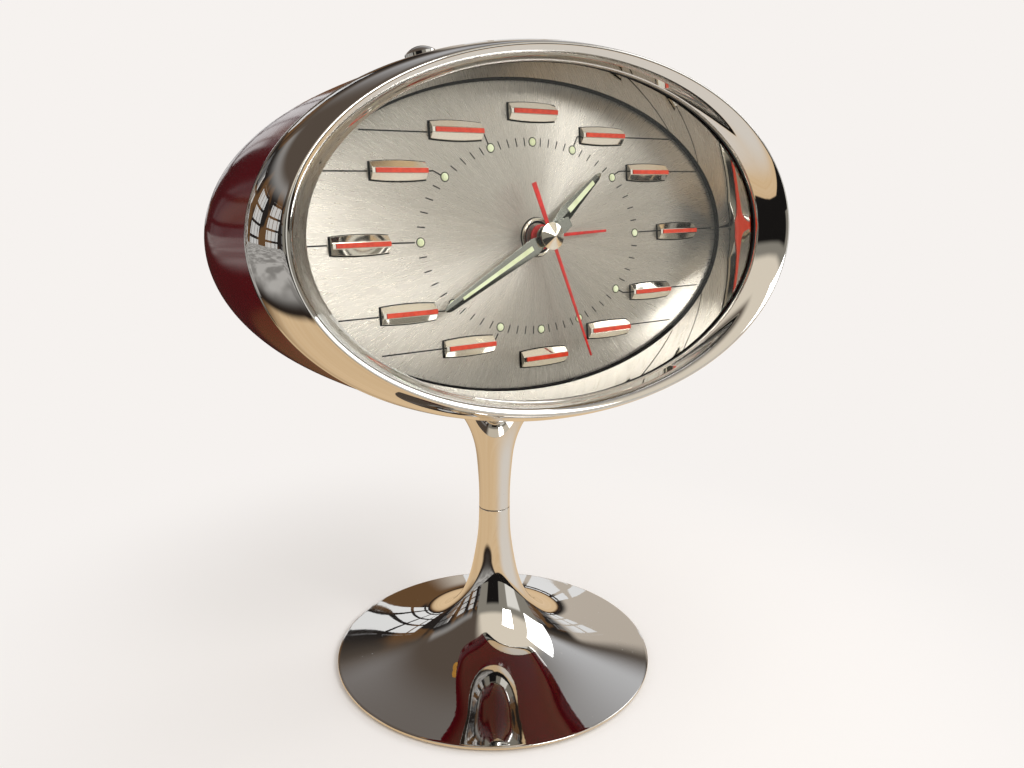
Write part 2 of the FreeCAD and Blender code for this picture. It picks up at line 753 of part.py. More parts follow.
def screw(place, face, side, length):
    """Cheese-head screw on a face, its head on the given side of the face, slotted."""
    head_low, head_high = sorted((face, face + side * SCREW_HEAD_HEIGHT))
    shank_low, shank_high = sorted((face, face - side * length))
    head = cylinder(SCREW_HEAD_RADIUS, head_low, head_high, place)
    slot_floor = face + side * (SCREW_HEAD_HEIGHT - SCREW_SLOT_DEPTH)
    slot_low, slot_high = sorted((slot_floor, face + side * (SCREW_HEAD_HEIGHT + 1)))
    slot = box(place[0] - SCREW_HEAD_RADIUS, place[0] + SCREW_HEAD_RADIUS,
               place[1] - SLOT_WIDTH / 2, place[1] + SLOT_WIDTH / 2, slot_low, slot_high)
    return head.cut(slot).fuse(cylinder(SCREW_RADIUS, shank_low, shank_high, place))


def bezel():
    """Bright front ring: a curved side, a crisp ridge and a funnel down to the glass."""
    side = loft([(JOINT_A + BEZEL_PROUD, JOINT_B + BEZEL_PROUD, JOINT_Z),
                 ((JOINT_A + RIDGE_A) / 2 + BEZEL_BULGE, (JOINT_B + RIDGE_B) / 2 + BEZEL_BULGE,
                  (JOINT_Z + RIDGE_Z) / 2),
                 (RIDGE_A, RIDGE_B, RIDGE_Z)])
    crown = loft([(RIDGE_A, RIDGE_B, RIDGE_Z),
                  (RIDGE_A - RIDGE_ROUND, RIDGE_B - RIDGE_ROUND, RIDGE_Z + RIDGE_CROWN)], True)
    funnel = loft([(SEAT_A, SEAT_B, SEAT_Z - 0.01),
                   (RIDGE_A - RIDGE_ROUND, RIDGE_B - RIDGE_ROUND, RIDGE_Z + RIDGE_CROWN)], True)
    tongue_a = JOINT_A - SHELL_WALL - TONGUE_GAP
    tongue_b = JOINT_B - SHELL_WALL - TONGUE_GAP
    tongue = oval(tongue_a, tongue_b, JOINT_Z - TONGUE_LENGTH, JOINT_Z)
    cavity = loft([(tongue_a - BEZEL_WALL, tongue_b - BEZEL_WALL, JOINT_Z - TONGUE_LENGTH),
                   (tongue_a - BEZEL_WALL, tongue_b - BEZEL_WALL, JOINT_Z),
                   (glass_a() + BEZEL_WALL, glass_b() + BEZEL_WALL, glass_back())], True)
    rebate = oval(glass_a() + GLASS_GAP, glass_b() + GLASS_GAP, glass_back() - 0.01, lip_back())
    eye = oval(SEAT_A, SEAT_B, lip_back() - 0.01, SEAT_Z)
    ring = side.fuse(crown).fuse(tongue)
    for hollow in (funnel, cavity, rebate, eye):
        ring = ring.cut(hollow)
    return ring


def lip_back():
    """Height of the back of the bezel's lip."""
    return SEAT_Z - LIP_THICKNESS


def glass_front():
    """Height of the front of the glass, behind its gasket."""
    return lip_back() - GASKET_THICKNESS


def glass_back():
    """Height of the back of the glass."""
    return glass_front() - GLASS_THICKNESS


def glass_a():
    """Half width of the glass."""
    return SEAT_A + GLASS_MARGIN


def glass_b():
    """Half height of the glass."""
    return SEAT_B + GLASS_MARGIN


def crystal():
    """Flat oval glass over the dial."""
    return oval(glass_a(), glass_b(), glass_back(), glass_front())


def crystal_gasket():
    """Thin ring between the glass and the bezel's lip."""
    outer = oval(glass_a(), glass_b(), glass_front(), lip_back())
    return outer.cut(oval(SEAT_A, SEAT_B, glass_front() - 1, lip_back() + 1))


def reflector_ring():
    """Mirror wall between the dial and the glass."""
    top = glass_back()
    top_a = SEAT_A + REFLECTOR_FLARE
    top_b = SEAT_B + REFLECTOR_FLARE
    outer = loft([(DIAL_A + REFLECTOR_WALL, DIAL_B + REFLECTOR_WALL, 0.0),
                  (top_a + REFLECTOR_WALL, top_b + REFLECTOR_WALL, top)], True)
    inner = loft([(DIAL_A, DIAL_B, 0.0), (top_a, top_b, top)], True)
    return outer.cut(inner)


# Dial

def dial_plate():
    """Oval dial with feet that stand on the movement."""
    plate = oval(DIAL_A + DIAL_MARGIN, DIAL_B + DIAL_MARGIN, DIAL_BACK, 0.0)
    feet = [cylinder(DIAL_FOOT_RADIUS, FRONT_PLATE_Z, DIAL_BACK, place) for place in DIAL_FEET]
    return fused([plate] + feet).cut(cylinder(DIAL_HOLE, DIAL_BACK - 1, 1))


def dial_collar():
    """Raised ring round the hands' hole."""
    ring = tube(COLLAR_RADIUS, COLLAR_RADIUS - COLLAR_WIDTH, 0.0, COLLAR_HEIGHT)
    groove = tube(COLLAR_RADIUS - COLLAR_WIDTH / 3, COLLAR_RADIUS - COLLAR_WIDTH * 2 / 3,
                  COLLAR_HEIGHT / 2, COLLAR_HEIGHT + 1)
    return ring.cut(groove)


def quarter_places(places):
    """Every place of a quarter of the dial mirrored into all four, without repeats."""
    every = [(sx * x, sy * y) for x, y in places for sx in (1, -1) for sy in (1, -1)]
    return sorted(set((x + 0.0, y + 0.0) for x, y in every))


def marker_shape():
    """Faceted block with a flat ridge, its long sides slightly bowed, at the dial's centre."""
    half = MARKER_LENGTH / 2
    side = MARKER_WIDTH / 2
    waist = side - MARKER_BULGE
    profile = [Vector(-half, -side, 0), Vector(-half, -side, MARKER_EDGE),
               Vector(-half, -STRIPE_WIDTH / 2, MARKER_HEIGHT),
               Vector(-half, STRIPE_WIDTH / 2, MARKER_HEIGHT),
               Vector(-half, side, MARKER_EDGE), Vector(-half, side, 0)]
    bar = Part.Face(Part.makePolygon(profile + [profile[0]])).extrude(Vector(MARKER_LENGTH, 0, 0))
    top = Part.Arc(Vector(-half, waist, 0), Vector(0, side, 0), Vector(half, waist, 0)).toShape()
    low = Part.Arc(Vector(half, -waist, 0), Vector(0, -side, 0), Vector(-half, -waist, 0)).toShape()
    right = Part.makeLine(Vector(half, waist, 0), Vector(half, -waist, 0))
    left = Part.makeLine(Vector(-half, -waist, 0), Vector(-half, waist, 0))
    plan = Part.Face(Part.Wire([top, right, low, left])).extrude(Vector(0, 0, MARKER_HEIGHT))
    return bar.common(plan)


def stripe_shape():
    """Coloured strip along the ridge of a marker, at the dial's centre."""
    half = MARKER_LENGTH / 2
    return box(-half + STRIPE_INSET, half, -STRIPE_WIDTH / 2, STRIPE_WIDTH / 2,
               MARKER_HEIGHT, MARKER_HEIGHT + STRIPE_HEIGHT)


def at_places(shape, places):
    """Copies of a shape at every place."""
    return [moved(shape, x, y) for x, y in places]


def lume_dots():
    """Twelve dots on the minute track, at every hour's direction."""
    return [cylinder(DOT_RADIUS, 0.0, DOT_HEIGHT, track_place(30.0 * k)) for k in range(12)]


def track_place(turn):
    """Point of the oval minute track at a direction clockwise from twelve."""
    across = math.sin(math.radians(turn))
    up = math.cos(math.radians(turn))
    reach = 1 / math.hypot(across / TRACK_A, up / TRACK_B)
    return (reach * across, reach * up)


# Hands

def hand(turn, level, outline, boss, bore, thickness=HAND_THICKNESS):
    """Flat hand: half widths at distances along it, on a round boss, pointing clockwise from twelve."""
    right = [(half, along) for along, half in outline]
    left = [(-half, along) for along, half in reversed(outline)]
    blade = prism(right + left, level, level + thickness)
    round_boss = cylinder(boss, level, level + thickness)
    whole = blade.fuse(round_boss).removeSplitter().cut(cylinder(bore, level - 1, level + thickness + 1))
    return turned(whole, -turn)


def insert(turn, level, outline):
    """Luminous filling that lies on a hand."""
    right = [(half, along) for along, half in outline]
    left = [(-half, along) for along, half in reversed(outline)]
    return turned(prism(right + left, level, level + LUME_THICKNESS), -turn)


def hour_hand():
    """Broad hour hand with a shoulder near its boss and a short tail."""
    along = [-HOUR_TAIL, 0.0, HOUR_NECK, HOUR_SHOULDER, HOUR_REACH - HAND_TIP, HOUR_REACH]
    outline = list(zip(along, HOUR_HALVES))
    return hand(HOUR_TURN, HOUR_HAND_Z, outline, HOUR_BOSS, HOUR_OUTER)


def hour_hand_lume():
    """Luminous filling of the hour hand."""
    along = [HOUR_SHOULDER + HOUR_LUME_START, HOUR_REACH - HOUR_LUME_END]
    outline = list(zip(along, HOUR_LUME_HALVES))
    return insert(HOUR_TURN, HOUR_HAND_Z + HAND_THICKNESS, outline)


def minute_hand():
    """Long minute hand that narrows to a blunt tip, with a short tail."""
    along = [-MINUTE_TAIL, -MINUTE_WAIST, 0.0, MINUTE_NECK, MINUTE_SHOULDER,
             MINUTE_REACH - HAND_TIP, MINUTE_REACH]
    outline = list(zip(along, MINUTE_HALVES))
    return hand(MINUTE_TURN, MINUTE_HAND_Z, outline, MINUTE_BOSS, CANNON_OUTER)


def minute_hand_lume():
    """Luminous filling of the minute hand."""
    along = [MINUTE_SHOULDER + MINUTE_LUME_START, MINUTE_REACH - MINUTE_LUME_END]
    outline = list(zip(along, MINUTE_LUME_HALVES))
    return insert(MINUTE_TURN, MINUTE_HAND_Z + HAND_THICKNESS, outline)


def second_hand():
    """Thin sweep hand with a wider tail."""
    outline = list(zip([-SECOND_TAIL, 0.0, SECOND_REACH], SECOND_HALVES))
    return hand(SECOND_TURN, SECOND_HAND_Z, outline, SECOND_BOSS, SECOND_ARBOR_RADIUS, SECOND_THICKNESS)


def hand_cap():
    """Low faceted cap over the boss of the sweep hand."""
    low = SECOND_HAND_Z + SECOND_THICKNESS
    points = [polar(HUB_RADIUS, 360.0 * k / HUB_FACETS + HUB_TURN) for k in range(HUB_FACETS)]
    base = Part.makePolygon([Vector(x, y, low + HUB_EDGE) for x, y in points + points[:1]])
    apex = Vector(0, 0, low + HUB_HEIGHT)
    faces = [Part.Face(base)]
    for a, b in zip(points, points[1:] + points[:1]):
        corners = [Vector(a[0], a[1], low + HUB_EDGE), Vector(b[0], b[1], low + HUB_EDGE), apex]
        faces.append(Part.Face(Part.makePolygon(corners + [corners[0]])))
    pyramid = Part.Solid(Part.Shell(faces))
    cap = prism(points, low, low + HUB_EDGE).fuse(pyramid)
    return cap.cut(cylinder(SECOND_ARBOR_RADIUS, low - 1, low + HUB_EDGE))


def alarm_hand():
    """Short thin hand that shows the alarm time, on a coloured disc."""
    outline = list(zip([0.0, ALARM_REACH], ALARM_HALVES))
    return hand(ALARM_TURN, ALARM_HAND_Z, outline, ALARM_BOSS, ALARM_OUTER)


# Movement

def plate_blank(low):
    """Rounded rectangular plate of the movement, starting at a height."""
    plate = box(PLATE_LEFT, PLATE_RIGHT, PLATE_BOTTOM, PLATE_TOP, low, low + PLATE_THICKNESS)
    edges = [edge for edge in plate.Edges if abs(edge.tangentAt(edge.FirstParameter).z) > 0.9]
    return plate.makeFillet(PLATE_CORNER, edges).common(shell_block(SHELL_WALL + PLATE_GAP))


def pillar_places():
    """Places of the four pillars, set in from the plate's corners."""
    return [(x, y) for x in (PLATE_LEFT + PILLAR_INSET, PLATE_RIGHT - PILLAR_INSET)
            for y in (PLATE_BOTTOM + PILLAR_INSET, PLATE_TOP - PILLAR_INSET)]


def front_plate():
    """Front plate with two ears that screw to the shell, and the button spring's seat."""
    plate = plate_blank(FRONT_BACK)
    for x, y in EAR_SCREWS:
        low_x, high_x = (PLATE_RIGHT - 1, x) if x > 0 else (x, PLATE_LEFT + 1)
        ear = box(low_x, high_x, y - BOSS_RADIUS, y + BOSS_RADIUS, FRONT_BACK, FRONT_PLATE_Z)
        plate = plate.fuse(ear).fuse(cylinder(BOSS_RADIUS, FRONT_BACK, FRONT_PLATE_Z, (x, y)))
    plate = plate.fuse(spring_seat()).removeSplitter()
    plate = drilled(plate, EAR_SCREWS + pillar_places(), SCREW_RADIUS)
    plate = drilled(plate, [CENTRE], CANNON_OUTER + PIVOT_GAP)
    plate = drilled(plate, pivot_places(), PIVOT_RADIUS + PIVOT_GAP)
    plate = drilled(plate, bridge_posts(), SCREW_RADIUS)
    return drilled(plate, through_places(), THROUGH_RADIUS + PIVOT_GAP)


def back_plate():
    """Back plate with the pivot holes and the stud that pins the hairspring."""
    plate = plate_blank(BACK_FRONT - PLATE_THICKNESS)
    stud = cylinder(STUD_RADIUS, BACK_FRONT, HAIRSPRING_Z, polar(HAIRSPRING_OUTER + STUD_RADIUS,
                                                               STUD_DIRECTION, BALANCE_PLACE))
    plate = plate.fuse(stud)
    plate = drilled(plate, pillar_places() + [BELL_PLACE], SCREW_RADIUS)
    plate = drilled(plate, pivot_places() + [CENTRE], PIVOT_RADIUS + PIVOT_GAP)
    return drilled(plate, through_places(), THROUGH_RADIUS + PIVOT_GAP)


def pivot_places():
    """Arbors that turn on thin pivots in both plates."""
    return [THIRD_PLACE, ESCAPE_PLACE, PALLET_PLACE, BALANCE_PLACE, VERGE_PLACE]


def through_places():
    """Arbors that pass through both plates."""
    return [GREAT_PLACE, ALARM_GREAT_PLACE, MINUTE_PLACE, ALARM_SET_PLACE, HAMMER_ARBOR_PLACE]


def drilled(shape, places, radius):
    """Shape with a hole of one radius through it at every place."""
    for place in places:
        shape = shape.cut(cylinder(radius, BACK_BACK - 1, FRONT_PLATE_Z + 1, place))
    return shape


def plate_pillars():
    """Four posts that hold the plates apart."""
    return [tube(PILLAR_RADIUS, SCREW_RADIUS, BACK_FRONT, FRONT_BACK, place) for place in pillar_places()]


def plate_screws():
    """Screws into both ends of the pillars."""
    length = PLATE_THICKNESS + PILLAR_THREAD
    return ([screw(place, FRONT_PLATE_Z, 1, length) for place in pillar_places()]
            + [screw(place, BACK_BACK, -1, length) for place in pillar_places()])


def movement_screws():
    """Screws that hold the movement's ears to the shell."""
    return [screw(place, FRONT_PLATE_Z, 1, PLATE_THICKNESS + PILLAR_THREAD) for place in EAR_SCREWS]


def bridge_posts():
    """Places of the two posts under the centre bridge."""
    return [polar(BRIDGE_REACH, direction) for direction in BRIDGE_DIRECTIONS]


def centre_bridge():
    """Bent strap on two posts that steadies the centre tube behind its pinion."""
    parts = [cylinder(BRIDGE_HUB, BRIDGE_Z, BRIDGE_Z + BRIDGE_THICKNESS)]
    for place in bridge_posts():
        parts.append(bar(CENTRE, place, BRIDGE_WIDTH, BRIDGE_Z, BRIDGE_Z + BRIDGE_THICKNESS))
        parts.append(cylinder(BRIDGE_WIDTH / 2, BRIDGE_Z, FRONT_BACK, place))
        parts.append(cylinder(SCREW_RADIUS, FRONT_BACK, FRONT_PLATE_Z, place))
    return fused(parts).cut(cylinder(CANNON_OUTER + PIVOT_GAP, BRIDGE_Z - 1, FRONT_BACK))


def arbor(place, low=None, high=None):
    """Plain arbor between the plates, with a pivot at both ends."""
    low = BACK_FRONT if low is None else low
    high = FRONT_BACK if high is None else high
    body = cylinder(ARBOR_RADIUS, low + END_SHAKE, high - END_SHAKE, place)
    pivot = cylinder(PIVOT_RADIUS, BACK_BACK, FRONT_PLATE_Z, place)
    return body.fuse(pivot)


def seated(disc, place, radius=ARBOR_RADIUS):
    """Wheel with the hole that its arbor fills."""
    return disc.cut(cylinder(radius, BACK_BACK - 1, SECOND_HAND_Z, place))


def centre_wheel():
    """Centre wheel with its own pinion, on the tube that carries the minute hand."""
    low = BRIDGE_Z - END_SHAKE
    pinion_top = GREAT_WHEEL_Z + WHEEL_THICKNESS + PINION_REACH
    disc = wheel(CENTRE_TEETH, TRAIN_MODULE, CENTRE_WHEEL_Z, CENTRE_WHEEL_Z + WHEEL_THICKNESS,
                 CENTRE, mesh_phase(CENTRE_TEETH, THIRD_DIRECTION))
    leaves = pinion(CENTRE_PINION_TEETH, GREAT_MODULE, GREAT_WHEEL_Z - PINION_REACH, pinion_top,
                    CENTRE, mesh_phase(CENTRE_PINION_TEETH, GREAT_DIRECTION, 0.5))
    stem = cylinder(CANNON_OUTER, low, MINUTE_WHEEL_Z - PINION_REACH)
    hub = cylinder(CANNON_OUTER + TUBE_WALL, pinion_top, CENTRE_WHEEL_Z)
    return fused([disc, leaves, stem, hub]).cut(cylinder(CANNON_INNER, low - 1, 1))


def cannon_pinion():
    """Pinion and pipe that carry the minute hand."""
    low = MINUTE_WHEEL_Z - PINION_REACH
    leaves = pinion(CANNON_TEETH, MOTION_MODULE, low, MINUTE_WHEEL_Z + WHEEL_THICKNESS + PINION_REACH,
                    CENTRE, mesh_phase(CANNON_TEETH, MINUTE_ARBOR_DIRECTION, 0.5))
    pipe = cylinder(CANNON_OUTER, low, MINUTE_HAND_Z + HAND_THICKNESS)
    return fused([leaves, pipe]).cut(cylinder(CANNON_INNER, low - 1, MINUTE_HAND_Z + HAND_THICKNESS + 1))


def hour_wheel():
    """Hour wheel and the pipe that carries the hour hand."""
    disc = wheel(HOUR_TEETH, HOUR_MODULE, HOUR_WHEEL_Z, HOUR_WHEEL_Z + WHEEL_THICKNESS, CENTRE,
                 mesh_phase(HOUR_TEETH, MINUTE_ARBOR_DIRECTION))
    pipe = cylinder(HOUR_OUTER, HOUR_WHEEL_Z, HOUR_HAND_Z + HAND_THICKNESS)
    bore = cylinder(HOUR_INNER, HOUR_WHEEL_Z - 1, HOUR_HAND_Z + HAND_THICKNESS + 1)
    return fused([disc, pipe]).cut(bore)


def alarm_wheel():
    """Alarm wheel and the pipe that carries the alarm hand."""
    disc = wheel(ALARM_WHEEL_TEETH, ALARM_SET_MODULE, ALARM_WHEEL_Z, ALARM_WHEEL_Z + WHEEL_THICKNESS,
                 CENTRE, mesh_phase(ALARM_WHEEL_TEETH, ALARM_ARBOR_DIRECTION))
    pipe = cylinder(ALARM_OUTER, ALARM_WHEEL_Z, ALARM_HAND_Z + HAND_THICKNESS)
    bore = cylinder(ALARM_INNER, ALARM_WHEEL_Z - 1, ALARM_HAND_Z + HAND_THICKNESS + 1)
    return fused([disc, pipe]).cut(bore)


def minute_wheel():
    """Minute wheel and pinion that step the minute hand down to the hour hand."""
    disc = wheel(MINUTE_WHEEL_TEETH, MOTION_MODULE, MINUTE_WHEEL_Z, MINUTE_WHEEL_Z + WHEEL_THICKNESS,
                 MINUTE_PLACE, mesh_phase(MINUTE_WHEEL_TEETH, MINUTE_ARBOR_DIRECTION + 180))
    leaves = pinion(MINUTE_PINION_TEETH, HOUR_MODULE, MINUTE_WHEEL_Z + WHEEL_THICKNESS,
                    motion_top(), MINUTE_PLACE,
                    mesh_phase(MINUTE_PINION_TEETH, MINUTE_ARBOR_DIRECTION + 180, 0.5))
    return seated(fused([disc, leaves]), MINUTE_PLACE, THROUGH_RADIUS)


def motion_top():
    """Height of the top of the minute pinion and of its arbor."""
    return HOUR_WHEEL_Z + WHEEL_THICKNESS + PINION_REACH


def third_wheel():
    """Third wheel, driven by the centre wheel and driving the sweep seconds arbor."""
    leaves = pinion(THIRD_PINION_TEETH, TRAIN_MODULE, CENTRE_WHEEL_Z - PINION_REACH,
                    CENTRE_WHEEL_Z + WHEEL_THICKNESS + PINION_REACH, THIRD_PLACE,
                    mesh_phase(THIRD_PINION_TEETH, THIRD_DIRECTION + 180, 0.5))
    disc = wheel(THIRD_TEETH, SECOND_MODULE, THIRD_WHEEL_Z, THIRD_WHEEL_Z + WHEEL_THICKNESS,
                 THIRD_PLACE, mesh_phase(THIRD_TEETH, THIRD_DIRECTION + 180))
    return fused([arbor(THIRD_PLACE), leaves, disc])


def seconds_wheel():
    """Seconds arbor through the centre tube, with its pinion and wheel."""
    rod = cylinder(SECOND_ARBOR_RADIUS, BACK_FRONT + END_SHAKE, SECOND_HAND_Z + SECOND_THICKNESS + HUB_EDGE)
    pivot = cylinder(PIVOT_RADIUS, BACK_BACK, BACK_FRONT + END_SHAKE)
    leaves = pinion(SECOND_PINION_TEETH, SECOND_MODULE, THIRD_WHEEL_Z - PINION_REACH,
                    THIRD_WHEEL_Z + WHEEL_THICKNESS + PINION_REACH, CENTRE,
                    mesh_phase(SECOND_PINION_TEETH, THIRD_DIRECTION, 0.5))
    disc = wheel(SECOND_TEETH, ESCAPE_MODULE, SECOND_WHEEL_Z, SECOND_WHEEL_Z + WHEEL_THICKNESS,
                 CENTRE, mesh_phase(SECOND_TEETH, ESCAPE_DIRECTION))
    return fused([rod, pivot, leaves, disc])


def pointed_wheel(teeth, tip, low, high, place, phase):
    """Wheel with pointed teeth, as an escapement has."""
    step = 360.0 / teeth
    root = tip - POINT_DEPTH
    points = []
    for k in range(teeth):
        middle = step * (k + phase)
        points.append(polar(root, middle - step * POINT_SHARE, place))
        points.append(polar(tip, middle - step * POINT_TIP, place))
        points.append(polar(tip, middle + step * POINT_TIP, place))
        points.append(polar(root, middle + step * POINT_SHARE, place))
    return prism(points, low, high)


def escape_wheel():
    """Escape wheel and its pinion."""
    leaves = pinion(ESCAPE_PINION_TEETH, ESCAPE_MODULE, SECOND_WHEEL_Z - PINION_REACH,
                    SECOND_WHEEL_Z + WHEEL_THICKNESS + PINION_REACH, ESCAPE_PLACE,
                    mesh_phase(ESCAPE_PINION_TEETH, ESCAPE_DIRECTION + 180, 0.5))
    tip_direction = LEVER_DIRECTION + PALLET_SPAN + 360.0 / ESCAPE_TEETH / 4
    disc = pointed_wheel(ESCAPE_TEETH, ESCAPE_RADIUS, ESCAPE_WHEEL_Z, ESCAPE_WHEEL_Z + THIN_WHEEL,
                         ESCAPE_PLACE, mesh_phase(ESCAPE_TEETH, tip_direction))
    return fused([arbor(ESCAPE_PLACE), leaves, disc])


def pallet_lever():
    """Lever with two pins that meet the escape wheel and a fork at the balance."""
    low = ESCAPE_WHEEL_Z - LEVER_DROP
    high = low + THIN_WHEEL
    parts = [arbor(PALLET_PLACE), cylinder(LEVER_HUB, low, high, PALLET_PLACE)]
    pin_reach = ESCAPE_RADIUS + PALLET_PIN + PALLET_GAP
    for side in (1, -1):
        pin = polar(pin_reach, LEVER_DIRECTION + side * PALLET_SPAN, ESCAPE_PLACE)
        parts.append(bar(PALLET_PLACE, pin, LEVER_ARM, low, high))
        parts.append(cylinder(LEVER_ARM / 2, low, high, pin))
        parts.append(cylinder(PALLET_PIN, low, ESCAPE_WHEEL_Z + THIN_WHEEL, pin))
    reach = LEVER_LENGTH - IMPULSE_RADIUS - IMPULSE_PIN - FORK_GAP
    tip = polar(reach, FORK_DIRECTION, PALLET_PLACE)
    notch = cylinder(IMPULSE_PIN + FORK_GAP, low - 1, high + 1, tip)
    parts.append(bar(PALLET_PLACE, tip, FORK_WIDTH, low, high))
    return fused(parts).cut(notch)


def bar(start, end, width, low, high):
    """Straight flat bar from one place to another."""
    dx = end[0] - start[0]
    dy = end[1] - start[1]
    length = math.hypot(dx, dy)
    flat = box(0, length, -width / 2, width / 2, low, high)
    return moved(turned(flat, math.degrees(math.atan2(dy, dx))), start[0], start[1])


def balance_wheel():
    """Balance with two arms, its staff, and a roller with the impulse pin."""
    top = BALANCE_Z + BALANCE_HEIGHT
    rim = tube(BALANCE_RADIUS, BALANCE_RADIUS - BALANCE_RIM, BALANCE_Z, top, BALANCE_PLACE)
    ends = [polar(BALANCE_RADIUS - BALANCE_RIM / 2, turn, BALANCE_PLACE) for turn in (0, 180)]
    arms = bar(ends[0], ends[1], BALANCE_ARM, BALANCE_Z, BALANCE_Z + BALANCE_HEIGHT / 2)
    roller = cylinder(IMPULSE_RADIUS + IMPULSE_PIN * 2, ESCAPE_WHEEL_Z, ESCAPE_WHEEL_Z + THIN_WHEEL,
                      BALANCE_PLACE)
    pin_place = polar(IMPULSE_RADIUS, FORK_DIRECTION + 180, BALANCE_PLACE)
    pin = cylinder(IMPULSE_PIN, ESCAPE_WHEEL_Z - LEVER_DROP, ESCAPE_WHEEL_Z, pin_place)
    return fused([arbor(BALANCE_PLACE), rim, arms, roller, pin])


def spiral(place, inner, outer, turns, strip, low, high, start=0.0):
    """Flat spiral strip whose radius grows steadily with its angle."""
    steps = int(turns * SPIRAL_STEPS)
    near = []
    far = []
    for k in range(steps + 1):
        share = k / steps
        radius = inner + (outer - strip - inner) * share
        angle = start + 360.0 * turns * share
        near.append(polar(radius, angle, place))
        far.append(polar(radius + strip, angle, place))
    return prism(near + far[::-1], low, high)


def hairspring():
    """Fine spiral that returns the balance, its inner end on the staff."""
    low = HAIRSPRING_Z - HAIRSPRING_HEIGHT
    collet_radius = ARBOR_RADIUS + COLLET_WALL
    coil = spiral(BALANCE_PLACE, collet_radius - HAIRSPRING_STRIP, HAIRSPRING_OUTER - STUD_GAP,
                  HAIRSPRING_TURNS, HAIRSPRING_STRIP, low, HAIRSPRING_Z, STUD_DIRECTION)
    return coil.fuse(tube(collet_radius, ARBOR_RADIUS, low, HAIRSPRING_Z, BALANCE_PLACE))


def regulator_post(turn):
    """Place of the regulator's post when the regulator is turned."""
    return polar(REGULATOR_REACH, REGULATOR_DIRECTION + turn, BALANCE_PLACE)


def regulator():
    """Index behind the back plate that makes the clock faster or slower."""
    high = BACK_BACK - END_SHAKE
    low = high - REGULATOR_THICKNESS
    post = regulator_post(0.0)
    parts = [cylinder(REGULATOR_HUB, low, high, BALANCE_PLACE),
             bar(BALANCE_PLACE, post, REGULATOR_POST * 2, low, high),
             cylinder(REGULATOR_POST, COVER_BACK - KNOB_STANDOFF, high, post)]
    return fused(parts).cut(cylinder(PIVOT_RADIUS + PIVOT_GAP, low - 1, high + 1, BALANCE_PLACE))


def winding_wheel(teeth, place, direction):
    """Great wheel that turns on its winding arbor."""
    blank = toothed(teeth, GREAT_MODULE, GREAT_WHEEL_Z, GREAT_WHEEL_Z + WHEEL_THICKNESS, place,
                    WHEEL_SHARE, WHEEL_ADDENDUM, mesh_phase(teeth, direction))
    high = GREAT_WHEEL_Z + WHEEL_THICKNESS + 1
    return blank.cut(cylinder(DRUM_RADIUS + PIVOT_GAP, GREAT_WHEEL_Z - 1, high, place))


def winding_arbor(place):
    """Winding arbor with the drum that the mainspring hooks on."""
    drum_low = SPRING_TOP - SPRING_HEIGHT
    return fused([setting_arbor(place, FRONT_PLATE_Z),
                  cylinder(DRUM_RADIUS, drum_low, GREAT_WHEEL_Z + WHEEL_THICKNESS + PINION_REACH, place)])


def mainspring(place):
    """Coiled strip of a mainspring around its drum."""
    return spiral(place, DRUM_RADIUS + SPRING_GAP, SPRING_RADIUS, SPRING_TURNS, SPRING_STRIP,
                  SPRING_TOP - SPRING_HEIGHT, SPRING_TOP)


def setting_arbor(place, front):
    """Arbor that ends in a thick stem for a key or a knob behind the cover."""
    shoulder = BACK_BACK - END_SHAKE
    return cylinder(THROUGH_RADIUS, shoulder, front, place).fuse(
        cylinder(STEM_RADIUS, knob_face() - STEM_DEPTH, shoulder, place))


def knob_face():
    """Height of the face of keys and knobs that looks at the cover."""
    return COVER_BACK - KNOB_STANDOFF


def alarm_set_pinion():
    """Pinion that turns the alarm wheel, on the alarm setting arbor."""
    return pinion(ALARM_SET_PINION_TEETH, ALARM_SET_MODULE, ALARM_WHEEL_Z - PINION_REACH,
                  alarm_set_top(), ALARM_SET_PLACE,
                  mesh_phase(ALARM_SET_PINION_TEETH, ALARM_ARBOR_DIRECTION + 180, 0.5))


def alarm_set_top():
    """Height of the top of the alarm setting pinion and of its arbor."""
    return ALARM_WHEEL_Z + WHEEL_THICKNESS + PINION_REACH


def knob(place):
    """Ribbed round knob on a setting arbor."""
    high = knob_face()
    low = high - KNOB_HEIGHT
    rib, groove_start, groove_end = KNOB_RIB_SHARES
    points = []
    for k in range(KNOB_RIDGES):
        step = 360.0 / KNOB_RIDGES
        points.append(polar(KNOB_RADIUS, step * k, place))
        points.append(polar(KNOB_RADIUS, step * (k + rib), place))
        points.append(polar(KNOB_RADIUS - KNOB_GROOVE, step * (k + groove_start), place))
        points.append(polar(KNOB_RADIUS - KNOB_GROOVE, step * (k + groove_end), place))
    return prism(points, low, high)


def key(place):
    """Winding key with two round wings on a hub."""
    high = knob_face()
    wing_radius = KEY_HEIGHT / 2
    centre_z = high - STEM_DEPTH - wing_radius / 2
    parts = [cylinder(STEM_RADIUS + KEY_HUB_WALL, high - STEM_DEPTH - KEY_HUB_WALL, high, place)]
    reach = KEY_WIDTH / 2 - wing_radius
    for side in (1, -1):
        start = Vector(place[0] + side * reach, place[1] - KEY_THICKNESS / 2, centre_z)
        parts.append(Part.makeCylinder(wing_radius, KEY_THICKNESS, start, Vector(0, 1, 0)))
    low_x = place[0] - KEY_WIDTH / 2 + wing_radius
    web = box(low_x, low_x + KEY_WIDTH - 2 * wing_radius, place[1] - KEY_THICKNESS / 2,
              place[1] + KEY_THICKNESS / 2, centre_z - wing_radius * KEY_WEB_SHARE, centre_z + wing_radius)
    parts.append(web)
    return fused(parts).cut(cylinder(STEM_RADIUS, high - STEM_DEPTH, high + 1, place))


